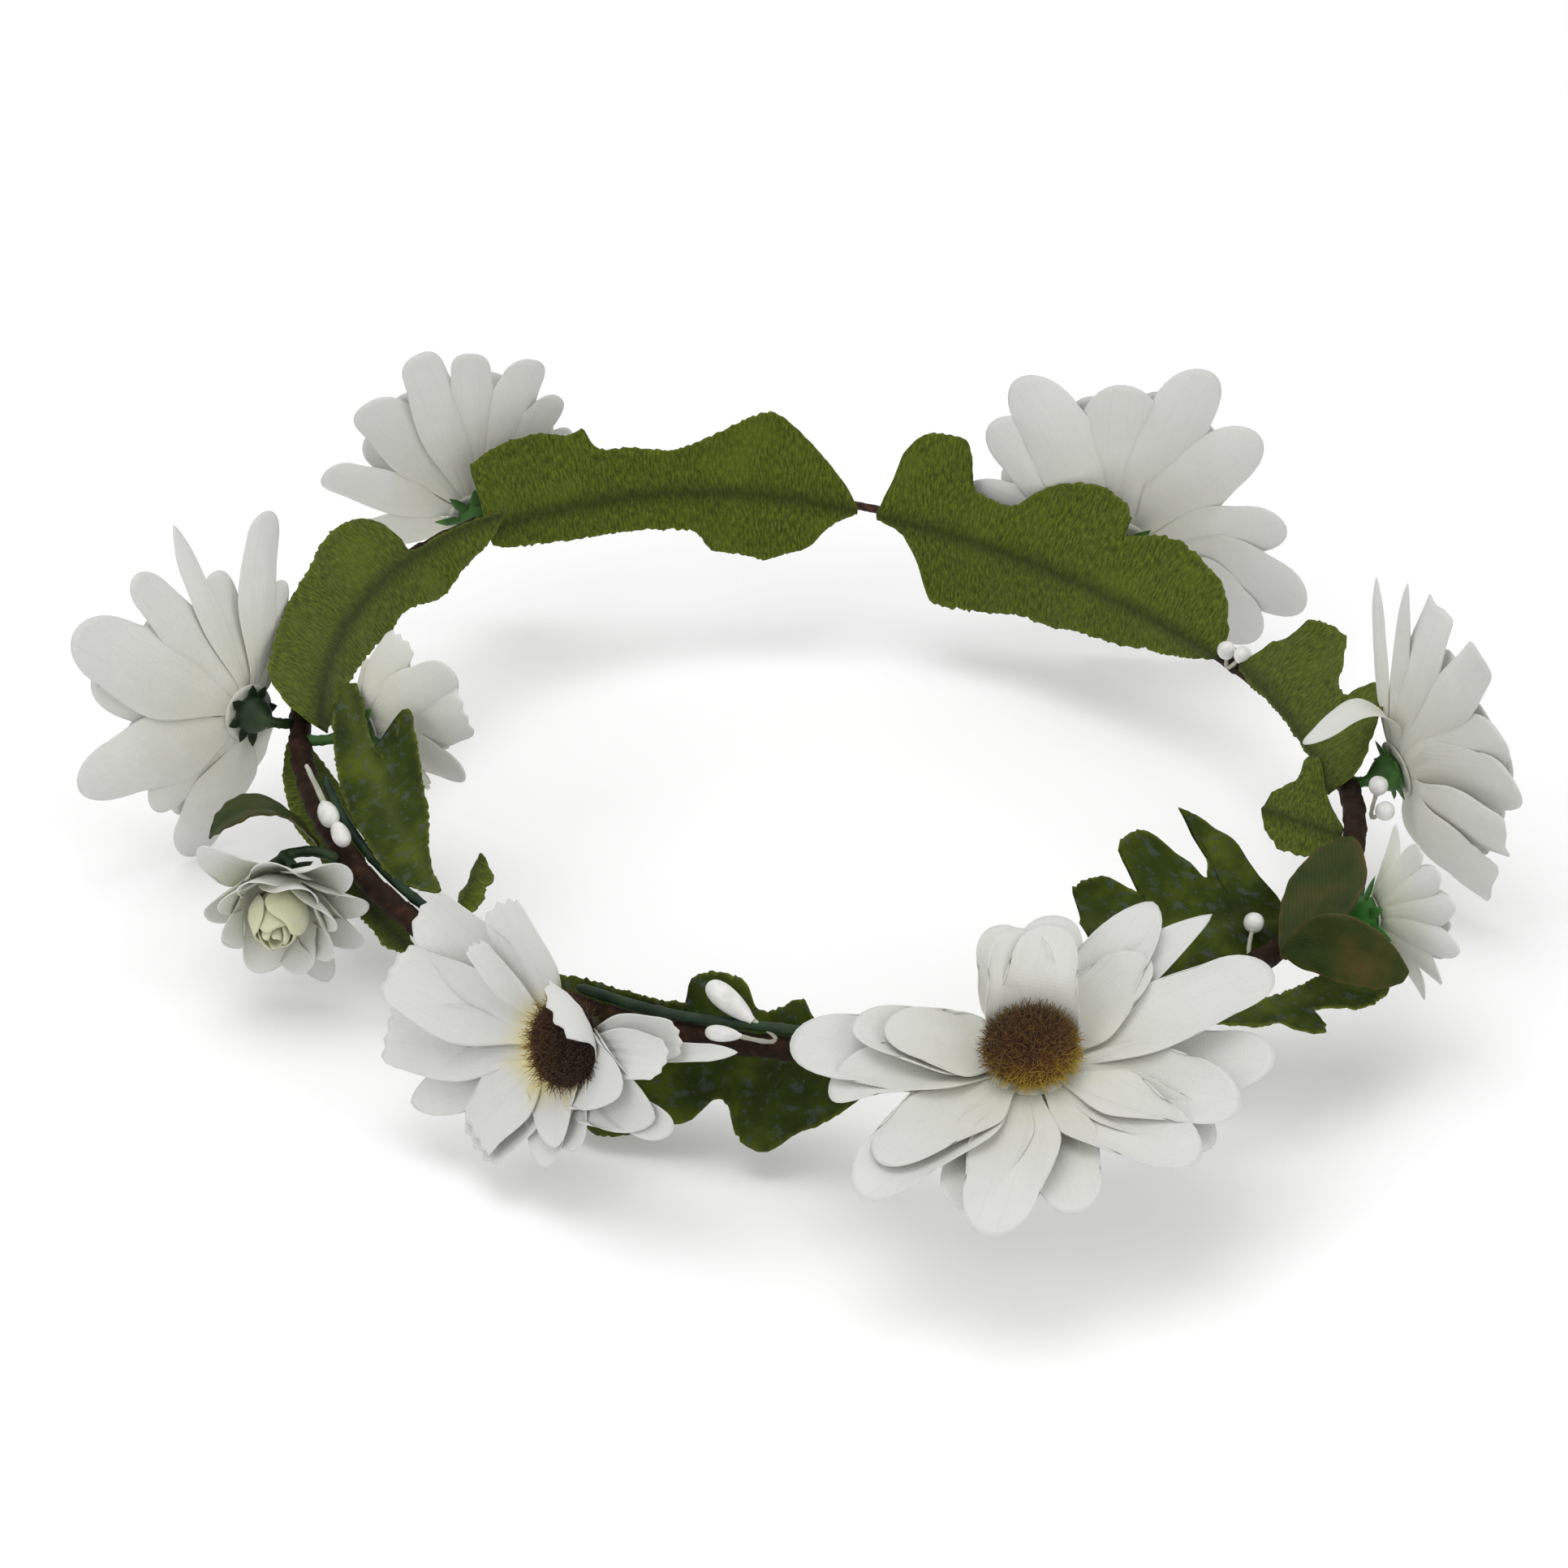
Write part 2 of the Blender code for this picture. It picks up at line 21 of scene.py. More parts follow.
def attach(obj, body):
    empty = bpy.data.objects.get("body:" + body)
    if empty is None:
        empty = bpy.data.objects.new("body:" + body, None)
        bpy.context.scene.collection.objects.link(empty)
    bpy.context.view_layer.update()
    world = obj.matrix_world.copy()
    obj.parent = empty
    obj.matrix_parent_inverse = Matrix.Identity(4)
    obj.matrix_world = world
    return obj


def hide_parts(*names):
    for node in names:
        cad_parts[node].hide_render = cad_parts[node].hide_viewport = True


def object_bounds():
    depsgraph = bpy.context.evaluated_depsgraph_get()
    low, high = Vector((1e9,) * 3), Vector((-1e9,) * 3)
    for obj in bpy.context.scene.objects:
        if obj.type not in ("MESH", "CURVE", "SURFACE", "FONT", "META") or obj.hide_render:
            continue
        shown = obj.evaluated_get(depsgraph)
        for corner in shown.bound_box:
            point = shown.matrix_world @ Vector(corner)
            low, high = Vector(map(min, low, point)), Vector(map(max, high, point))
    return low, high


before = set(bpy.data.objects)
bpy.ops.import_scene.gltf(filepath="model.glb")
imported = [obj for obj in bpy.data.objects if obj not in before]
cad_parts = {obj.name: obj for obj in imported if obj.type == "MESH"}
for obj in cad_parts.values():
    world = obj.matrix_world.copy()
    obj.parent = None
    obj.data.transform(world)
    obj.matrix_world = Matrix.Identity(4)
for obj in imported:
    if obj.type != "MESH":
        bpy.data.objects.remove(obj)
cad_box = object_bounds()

MM = 0.001


def new_object(name, data):
    """An object in the scene that shows this mesh, curve, light or camera."""
    made = bpy.data.objects.new(name, data)
    bpy.context.scene.collection.objects.link(made)
    return made


print(len(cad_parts), "nodes loaded")

# %% [markdown]
# ## The camera
#
# The camera comes before the pieces, so that each can be judged from where it will be seen: a
# little above the crown, in front of it, with a long lens so that near flowers aren't swollen.

# %% The camera
ELEVATION = math.radians(30)
DISTANCE = 800 * MM
AIM = Vector((-6.35, -2.62, -4.54)) * MM

lens = bpy.data.cameras.new("camera")
lens.lens, lens.sensor_width = 108, 36
lens.clip_start, lens.clip_end = 0.05, 20
camera = new_object("camera", lens)
camera.location = AIM + DISTANCE * Vector((0, -math.cos(ELEVATION), math.sin(ELEVATION)))
camera.rotation_euler = (math.pi / 2 - ELEVATION, 0, 0)
bpy.context.scene.camera = camera
print("camera at", [round(c, 3) for c in camera.location])

# %% [markdown]
# ## Places on the ring
#
# Everything is placed from the ring: an angle round it, how far outside its centre line, and how
# far above it. The ring is slightly oval and leans a little, as hand-bent wire does, and these
# few sizes are the same as in the model.

# %% Places on the ring
HEAD_ROUND, RING_OVAL, RING_LEAN, RING_TWIST = 556.0, 6.0, 4.0, 3.0
LEAN_TOWARDS, LONG_AXIS = 127.0, 135.0
WIRE_RADIUS, TAPE_RADIUS, STRAND_RADIUS, GAP = 0.8, 1.95, 0.9, 0.35
SPLICE_AT, SPLICE_HALF = 84.0, 2.2
PETAL_THICKNESS, LAYER_PITCH, LAYER_HOLE = 0.7, 1.3, 2.0


def wave(angle, towards):
    return math.cos(math.radians(angle - towards))


def unit(angle):
    return Vector((math.cos(math.radians(angle)), math.sin(math.radians(angle)), 0))


def on_ring(angle, out=0.0, up=0.0):
    """A place given from the ring's centre line, in millimetres."""
    radius = HEAD_ROUND / math.tau + RING_OVAL * wave(2 * angle, 2 * LONG_AXIS)
    height = RING_LEAN * wave(angle, LEAN_TOWARDS)
    height += RING_TWIST * wave(2 * angle, 2 * LEAN_TOWARDS)
    return unit(angle) * (radius + out) + Vector((0, 0, height + up))


def way(angle, out, along, up):
    """A direction given from the ring at this angle."""
    return (unit(angle) * out + unit(angle + 90) * along + Vector((0, 0, up))).normalized()


def bend(start, middle, end, steps):
    """Points on a smooth bend through three places."""
    pull = 2 * middle - (start + end) / 2
    shares = [k / steps for k in range(steps + 1)]
    return [(1 - t) ** 2 * start + 2 * t * (1 - t) * pull + t * t * end for t in shares]


print("ring radius at the front", round((on_ring(-90).xy).length, 1), "mm")

# %% [markdown]
# ## Writing shader maths
#
# A finish is a small network of nodes. To keep it readable, `Value` wraps one socket, so that
# `1 - mask * 0.4` writes its own Math nodes, and `Finish.add` makes any other node in one call.

# %% Shader helpers
class Value:
    """One output socket, which can be added to, multiplied and so on."""

    def __init__(self, finish, socket):
        self.finish, self.socket = finish, socket

    def __add__(self, other):
        return self.finish.maths("ADD", self, other)

    def __sub__(self, other):
        return self.finish.maths("SUBTRACT", self, other)

    def __mul__(self, other):
        return self.finish.maths("MULTIPLY", self, other)

    def __rsub__(self, other):
        return self.finish.maths("SUBTRACT", other, self)

    __radd__, __rmul__ = __add__, __mul__


class Finish:
    """A material in the making."""

    def __init__(self, name, **constants):
        self.material = bpy.data.materials.new(name)
        self.material.use_nodes = True
        self.tree = self.material.node_tree
        self.shader = self.tree.nodes["Principled BSDF"]
        for socket, value in constants.items():
            self.shader.inputs[socket.replace("_", " ")].default_value = value

    def link(self, socket, value):
        if isinstance(value, Value):
            self.tree.links.new(value.socket, socket)
        else:
            socket.default_value = value

    def add(self, kind, settings=None, sockets=None, out=0):
        """Any node: its type, its settings, its sockets' values or links, the output wanted."""
        node = self.tree.nodes.new(kind)
        for name, value in (settings or {}).items():
            if name == "stops":
                self.set_stops(node.color_ramp, value)
            else:
                setattr(node, name, value)
        for name, value in (sockets or {}).items():
            self.link(node.inputs[name], value)
        return Value(self, node.outputs[out])

    def maths(self, operation, first, second):
        return self.add("ShaderNodeMath", {"operation": operation}, {0: first, 1: second})

    @staticmethod
    def set_stops(ramp, stops):
        while len(ramp.elements) < len(stops):
            ramp.elements.new(1.0)
        for element, (place, shade) in zip(ramp.elements, stops):
            element.position = place
            element.color = (*shade, 1) if hasattr(shade, "__len__") else (shade, shade, shade, 1)

    def coords(self, scale, cut=False):
        """The object's own place, or its place on the flat cut, scaled for a pattern."""
        if cut:
            start = self.add("ShaderNodeUVMap", {"uv_map": "cut"})
        else:
            start = self.add("ShaderNodeTexCoord", out="Object")
        scale = scale if isinstance(scale, tuple) else (scale,) * 3
        return self.add("ShaderNodeMapping", None, {"Vector": start, "Scale": scale})

    def noise(self, scale, detail=2.0, rough=0.5, cut=False):
        sockets = {"Vector": self.coords(scale, cut), "Scale": 1.0, "Detail": detail,
                   "Roughness": rough}
        return self.add("ShaderNodeTexNoise", None, sockets)

    def waves(self, direction, scale, distortion, detail):
        """Parallel bands over the flat cut."""
        sockets = {"Vector": self.coords((scale, scale, 1), cut=True), "Scale": 1.0,
                   "Distortion": distortion, "Detail": detail}
        return self.add("ShaderNodeTexWave", {"bands_direction": direction}, sockets, out="Fac")

    def part_of(self, vector, number):
        """One of a vector's three numbers."""
        return self.add("ShaderNodeSeparateXYZ", None, {0: vector}, out=number)

    def ramp(self, value, stops):
        return self.add("ShaderNodeValToRGB", {"stops": stops}, {"Fac": value})

    def step(self, value, low, high):
        """0 below the first number, 1 above the second, and smooth between."""
        sockets = {"Value": value, "From Min": low, "From Max": high}
        return self.add("ShaderNodeMapRange", {"interpolation_type": "SMOOTHSTEP"}, sockets)

    def attribute(self, name):
        return self.add("ShaderNodeAttribute", {"attribute_name": name}, out="Fac")

    def blend(self, first, second, share):
        """Two colours mixed."""
        settings = {"data_type": "RGBA", "blend_type": "MIX"}
        first = first if isinstance(first, Value) else (*first, 1)
        second = second if isinstance(second, Value) else (*second, 1)
        return self.add("ShaderNodeMix", settings, {0: share, 6: first, 7: second}, out=2)

    def bump(self, height, distance, strength=1.0, after=None):
        sockets = {"Height": height, "Distance": distance, "Strength": strength}
        if after is not None:
            sockets["Normal"] = after
        return self.add("ShaderNodeBump", None, sockets)

    def finish(self, colour, roughness, normal):
        self.link(self.shader.inputs["Base Color"], colour)
        self.link(self.shader.inputs["Roughness"], roughness)
        self.link(self.shader.inputs["Normal"], normal)
        print("finish:", self.material.name, len(self.tree.nodes), "nodes")
        return self.material


# %% [markdown]
# ## White petal cloth
#
# Petals are cut from stiffened polyester. Close to, it is a matte off-white with a fine weave,
# thin pressed lines running from root to tip, and a breath of cream or yellow at the root. The
# lines are also painted a little darker, which is painted shade in their creases. The flat map
# on each petal gives the distance across it and the distance from the flower's middle, so the
# lines and the tint follow the petal however it bends.

# %% White petal cloth
def petal_cloth(name, root, reach):
    cloth = Finish(name, Sheen_Weight=0.15, Sheen_Roughness=0.6, Specular_IOR_Level=0.25,
                   Subsurface_Weight=0.12, Subsurface_Scale=0.0012,
                   Subsurface_Radius=(1.0, 1.0, 0.95))
    outward = cloth.part_of(cloth.coords(1, cut=True), 1)
    lines = cloth.noise((60, 1.6, 1), 3.0, 0.6, cut=True)
    fine = cloth.noise((190, 7, 1), 2.0, 0.6, cut=True)
    cloudy = cloth.noise(160, 3.0)
    weave = cloth.waves("X", 46, 1.0, 1.0) * cloth.waves("Y", 46, 1.0, 1.0)
    tint = (1 - cloth.step(outward, 0.06, reach)) * (0.2 + lines * 0.9)
    colour = cloth.blend((0.575, 0.580, 0.552), root, tint)
    # Painted shade: the cloth is darkened along the pressed lines, where their creases would fall in
    # shade.
    colour = cloth.blend(colour, (0.495, 0.500, 0.470), cloth.step(lines, 0.54, 0.78) * 0.30)
    colour = cloth.blend(colour, (0.625, 0.630, 0.615), cloth.step(cloudy, 0.5, 0.7) * 0.35)
    rough = 0.62 + cloudy * 0.2 + fine * 0.1
    normal = cloth.bump(weave, 0.00004, 0.5)
    normal = cloth.bump(lines * 0.7 + fine * 0.3, 0.0003, 0.4, after=normal)
    return cloth.finish(colour, rough, normal)


white_cloth = petal_cloth("white petal cloth", (0.55, 0.55, 0.43), 0.36)
cosmos_cloth = petal_cloth("cosmos petal cloth", (0.60, 0.52, 0.10), 0.135)
rosette_cloth = petal_cloth("rosette petal cloth", (0.56, 0.58, 0.40), 0.20)
heart_cloth = petal_cloth("green-white heart cloth", (0.56, 0.58, 0.28), 0.9)

# %% [markdown]
# ## Leaf cloth, both sides
#
# The leaves are one cloth with two faces. The underside is a fuzzy olive felt whose short fibres
# lie across the leaf in streaks; along the midrib fold it is darkened with painted shade. The upper
# side is printed dark green, and a thin wax coat has dried on it in blue-grey patches. Near the cut
# edge the print runs out and the olive shows.

# %% Leaf felt and leaf print
def leaf_felt():
    felt = Finish("leaf felt underside", Sheen_Weight=0.05, Sheen_Roughness=0.5,
                  Specular_IOR_Level=0.15)
    streak = felt.noise((28, 180, 1), 5.0, 0.7, cut=True)
    fuzz = felt.noise((60, 330, 1), 3.0, 0.7, cut=True)
    cloudy = felt.noise(95, 3.0)
    colour = felt.ramp(streak, [(0.36, (0.024, 0.036, 0.002)), (0.49, (0.064, 0.092, 0.005)),
                                (0.62, (0.125, 0.158, 0.012))])
    colour = felt.blend(colour, (0.038, 0.060, 0.005), felt.step(fuzz, 0.45, 0.75) * 0.6)
    colour = felt.blend(colour, (0.115, 0.145, 0.012), felt.step(cloudy, 0.5, 0.72) * 0.4)
    # Painted shade: the felt is darkened along the midrib fold.
    fold = felt.attribute("fold")
    colour = felt.blend(colour, (0.014, 0.022, 0.002), fold * 0.8)
    edge = felt.attribute("edge")
    colour = felt.blend(colour, (0.155, 0.180, 0.022), edge * 0.5)
    normal = felt.bump(streak, 0.0005, 0.6)
    normal = felt.bump(fuzz, 0.0003, 0.9, after=normal)
    return felt.finish(colour, 0.78 + cloudy * 0.2, normal)


def leaf_print():
    printed = Finish("leaf print upper side", Specular_IOR_Level=0.12)
    cloudy = printed.noise(110, 4.0, 0.6)
    patch = printed.noise((20, 34, 1), 6.0, 0.66, cut=True)
    weave = printed.noise(900)
    colour = printed.ramp(cloudy, [(0.32, (0.012, 0.019, 0.002)), (0.52, (0.026, 0.041, 0.002)),
                                   (0.70, (0.062, 0.082, 0.005))])
    wax = printed.step(patch, 0.53, 0.60)
    colour = printed.blend(colour, (0.050, 0.070, 0.066), wax * 0.48)
    edge = printed.attribute("edge")
    colour = printed.blend(colour, (0.115, 0.135, 0.018), edge * 0.8)
    fold = printed.attribute("fold")
    colour = printed.blend(colour, (0.100, 0.125, 0.022), fold * 0.35)
    normal = printed.bump(weave, 0.00012, 0.6)
    normal = printed.bump(cloudy * 0.6 + wax * 0.4, 0.0004, 0.5, after=normal)
    return printed.finish(colour, 0.66 - wax * 0.24 + weave * 0.1, normal)


felt_side, print_side = leaf_felt(), leaf_print()

# %% [markdown]
# ## Oval leaves, stems, tape, flock and pearl
#
# The other finishes are small jobs in the same way: a smooth brown-green leaf with fine side
# veins, moulded green plastic, crinkled paper tape, fuzzy flock whose fibres carry their own
# shade, and a milky bead.

# %% The other finishes
def oval_finish():
    oval = Finish("oval leaf", Specular_IOR_Level=0.14)
    cloudy = oval.noise(120, 3.0)
    veins = oval.waves("DIAGONAL", 38, 2.5, 2.0)
    grain = oval.noise(700)
    colour = oval.ramp(cloudy, [(0.3, (0.014, 0.026, 0.002)), (0.52, (0.028, 0.040, 0.004)),
                                (0.72, (0.070, 0.050, 0.010))])
    colour = oval.blend(colour, (0.018, 0.034, 0.004), oval.step(veins, 0.6, 0.95) * 0.25)
    edge = oval.attribute("edge")
    colour = oval.blend(colour, (0.115, 0.060, 0.022), edge * 0.45)
    normal = oval.bump(veins * 0.5 + grain * 0.3, 0.00018, 0.4)
    return oval.finish(colour, 0.40 + cloudy * 0.2, normal)


def moulded_green(name, dark, light, gloss):
    green = Finish(name, Specular_IOR_Level=0.22)
    cloudy = green.noise(240, 3.0)
    flow = green.noise((900, 900, 220))
    colour = green.blend(dark, light, green.step(cloudy, 0.35, 0.7))
    return green.finish(colour, gloss + flow * 0.2, green.bump(flow, 0.00012, 0.6))


def crinkled_tape(name, dark, mid, light):
    tape = Finish(name, Specular_IOR_Level=0.12)
    crinkle = tape.noise(520, 4.0, 0.7)
    broad = tape.noise(150)
    lap = tape.attribute("lap")
    colour = tape.ramp(crinkle, [(0.3, dark), (0.52, mid), (0.72, light)])
    colour = tape.blend(colour, dark, (1 - tape.step(lap, 0.02, 0.3)) * 0.6)
    colour = tape.blend(colour, light, tape.step(broad, 0.55, 0.75) * 0.4)
    return tape.finish(colour, 0.55 + crinkle * 0.35, tape.bump(crinkle, 0.0004, 0.8))


def flock(name, dark, mid, gold):
    """Fibres: the shade attribute goes from 0 in the dark middle to 1 at the gold rim."""
    fuzz = Finish(name, Sheen_Weight=0.1, Specular_IOR_Level=0.2)
    mottled = fuzz.noise(900)
    shade = fuzz.attribute("shade") + (mottled - 0.5) * 0.5
    colour = fuzz.ramp(shade, [(0.05, dark), (0.48, mid), (0.95, gold)])
    colour = fuzz.blend(colour, gold, fuzz.attribute("tip") * 0.20)
    return fuzz.finish(colour, 0.8 + mottled * 0.15, fuzz.bump(mottled, 0.0001, 0.5))


def pearl_finish():
    pearl = Finish("pearl bead", Specular_IOR_Level=0.5, Coat_Weight=0.3, Coat_Roughness=0.15,
                   Subsurface_Weight=0.1, Subsurface_Scale=0.001)
    milk = pearl.noise(420, 3.0)
    colour = pearl.ramp(milk, [(0.3, (0.56, 0.56, 0.53)), (0.7, (0.74, 0.74, 0.72))])
    return pearl.finish(colour, 0.22 + milk * 0.2, pearl.bump(milk, 0.0001, 0.35))


oval_green = oval_finish()
stem_green = moulded_green("dark green stem", (0.006, 0.017, 0.008), (0.017, 0.038, 0.014), 0.42)
sepal_green = moulded_green("green sepal", (0.030, 0.085, 0.016), (0.055, 0.150, 0.030), 0.42)
dark_sepal = moulded_green("dark sepal", (0.008, 0.020, 0.006), (0.020, 0.042, 0.012), 0.4)
bright_sepal = moulded_green("bright sepal", (0.035, 0.160, 0.020), (0.070, 0.270, 0.045), 0.4)
brown_tape = crinkled_tape("brown stem tape", (0.007, 0.003, 0.001), (0.020, 0.009, 0.004),
                           (0.046, 0.023, 0.011))
wire_paper = crinkled_tape("wire paper", (0.020, 0.010, 0.007), (0.050, 0.026, 0.018),
                           (0.10, 0.06, 0.045))
brown_flock = flock("brown flock", (0.040, 0.011, 0.004), (0.145, 0.062, 0.006),
                    (0.46, 0.320, 0.026))
dark_flock = flock("dark flock", (0.016, 0.005, 0.003), (0.052, 0.017, 0.006),
                   (0.30, 0.170, 0.018))
pearl = pearl_finish()

# %% [markdown]
# ## Recipes for repeated shapes
#
# Geometry Nodes suit what repeats or follows a path: the turns of the tape, the fibres of the
# flock. `Recipe` builds such a tree with the same `add` call as a finish, and `grow` runs it on
# an object, keeps the result as a plain mesh and takes the modifier off again.

# %% Geometry Nodes helpers
SOCKETS = {float: "NodeSocketFloat", int: "NodeSocketInt", Vector: "NodeSocketVector",
           bpy.types.Material: "NodeSocketMaterial"}


class Recipe(Finish):
    """A Geometry Nodes tree in the making, with named inputs."""

    def __init__(self, name, **sizes):
        self.tree = bpy.data.node_groups.new(name, "GeometryNodeTree")
        face = self.tree.interface
        face.new_socket("Geometry", in_out="INPUT", socket_type="NodeSocketGeometry")
        for size, kind in sizes.items():
            face.new_socket(size.replace("_", " "), in_out="INPUT", socket_type=SOCKETS[kind])
        face.new_socket("Geometry", in_out="OUTPUT", socket_type="NodeSocketGeometry")
        self.source = self.tree.nodes.new("NodeGroupInput")

    def given(self, name):
        return Value(self, self.source.outputs[name])

    def store(self, geometry, name, value):
        """Gives every point of the geometry a number under this name."""
        sockets = {"Geometry": geometry, "Name": name, "Value": value}
        return self.add("GeometryNodeStoreNamedAttribute", {"data_type": "FLOAT"}, sockets)

    def chance(self, low, high, seed, kind="FLOAT"):
        """A random number, or three, for each point."""
        first, out = (2, 1) if kind == "FLOAT" else (0, 0)
        sockets = {first: low, first + 1: high, "Seed": seed}
        return self.add("FunctionNodeRandomValue", {"data_type": kind}, sockets, out)

    def output(self, geometry):
        end = self.tree.nodes.new("NodeGroupOutput")
        self.link(end.inputs[0], geometry)
        print("recipe:", self.tree.name, len(self.tree.nodes), "nodes")


def grow(thing, recipe, **sizes):
    """Runs the recipe on an object and keeps what it made as a plain mesh object."""
    modifier = thing.modifiers.new("recipe", "NODES")
    modifier.node_group = recipe.tree
    for item in recipe.tree.interface.items_tree:
        if item.in_out == "INPUT" and item.name.replace(" ", "_") in sizes:
            modifier[item.identifier] = sizes[item.name.replace(" ", "_")]
    graph = bpy.context.evaluated_depsgraph_get()
    mesh, name = bpy.data.meshes.new_from_object(thing.evaluated_get(graph)), thing.name
    bpy.data.objects.remove(thing)
    return new_object(name, mesh)


# %% [markdown]
# ## Making an object from rows of points
#
# Nearly every piece here is a sheet: rows of points, joined by four-sided faces. `Sheet` collects
# several such patches in one mesh and keeps, for each point, its place on the flat cut and any
# shades that a finish wants, such as how near it is to an edge.

# %% Patches and pieces
PIECES = {}
CUT_WIDE, CUT_LONG = 40, 80  # mm on the cut for one step of its flat map


def on_cut(across, along):
    return 0.5 + across / CUT_WIDE, along / CUT_LONG


class Sheet:
    """Patches of rows of points in one mesh, with a flat map called cut."""

    def __init__(self, *shades):
        self.shape = bmesh.new()
        self.flat = self.shape.loops.layers.uv.new("cut")
        self.shades = {s: self.shape.verts.layers.float.new(s) for s in shades}

    def patch(self, rows, places, closed=False, look=0, **shades):
        """rows of points in mm; places has each point's (across, along) on the flat cut, in mm."""
        made = [[self.shape.verts.new(point * MM) for point in row] for row in rows]
        for name, table in shades.items():
            for row, values in zip(made, table):
                for corner, value in zip(row, values):
                    corner[self.shades[name]] = value
        count = len(made[0])
        for k in range(len(made) - 1):
            for j in range(count if closed else count - 1):
                n = (j + 1) % count
                corners = ((k, j), (k, n), (k + 1, n), (k + 1, j))
                face = self.shape.faces.new([made[a][b] for a, b in corners])
                face.material_index, face.smooth = look, True
                for loop, (a, b) in zip(face.loops, corners):
                    loop[self.flat].uv = on_cut(*places[a][b])
        return made

    def piece(self, name, looks, thickness=0.0):
        """The finished object; a thickness gives the sheet its two faces."""
        mesh = bpy.data.meshes.new(name)
        self.shape.to_mesh(mesh)
        self.shape.free()
        for look in looks:
            mesh.materials.append(look)
        made = new_object(name, mesh)
        if thickness:
            wall = made.modifiers.new("cloth thickness", "SOLIDIFY")
            wall.thickness, wall.offset = thickness * MM, 0.0
        return made


def stands_for(made, node):
    """Hands the node's place over to the finished piece."""
    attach(made, "root")
    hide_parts(node)
    PIECES[node] = made
    return made


def rounded(share):
    """Smooth from 0 to 1."""
    share = min(1.0, max(0.0, share))
    return share * share * (3 - 2 * share)


def along_list(values, share):
    """A value read from evenly spaced ones."""
    place = min(1.0, max(0.0, share)) * (len(values) - 1)
    k = min(int(place), len(values) - 2)
    return values[k] + (values[k + 1] - values[k]) * rounded(place - k)


# %% [markdown]
# ## The flowers' measures
#
# Each flower has a foot near the ring and a way that it faces. A petal is given as on the cutting
# table: its angle round the flower, its length from the middle, its width, and how far it lifts
# from flat. Some petals on the real flower were bent in the box: those say how their slope goes
# from root to tip, how far they turn on their own length, and what their tip looks like.

# %% Flower tables
SOFT, ROUND, POINT, SQUARE = ({"tip": tip} for tip in ("soft", "round", "point", "square"))

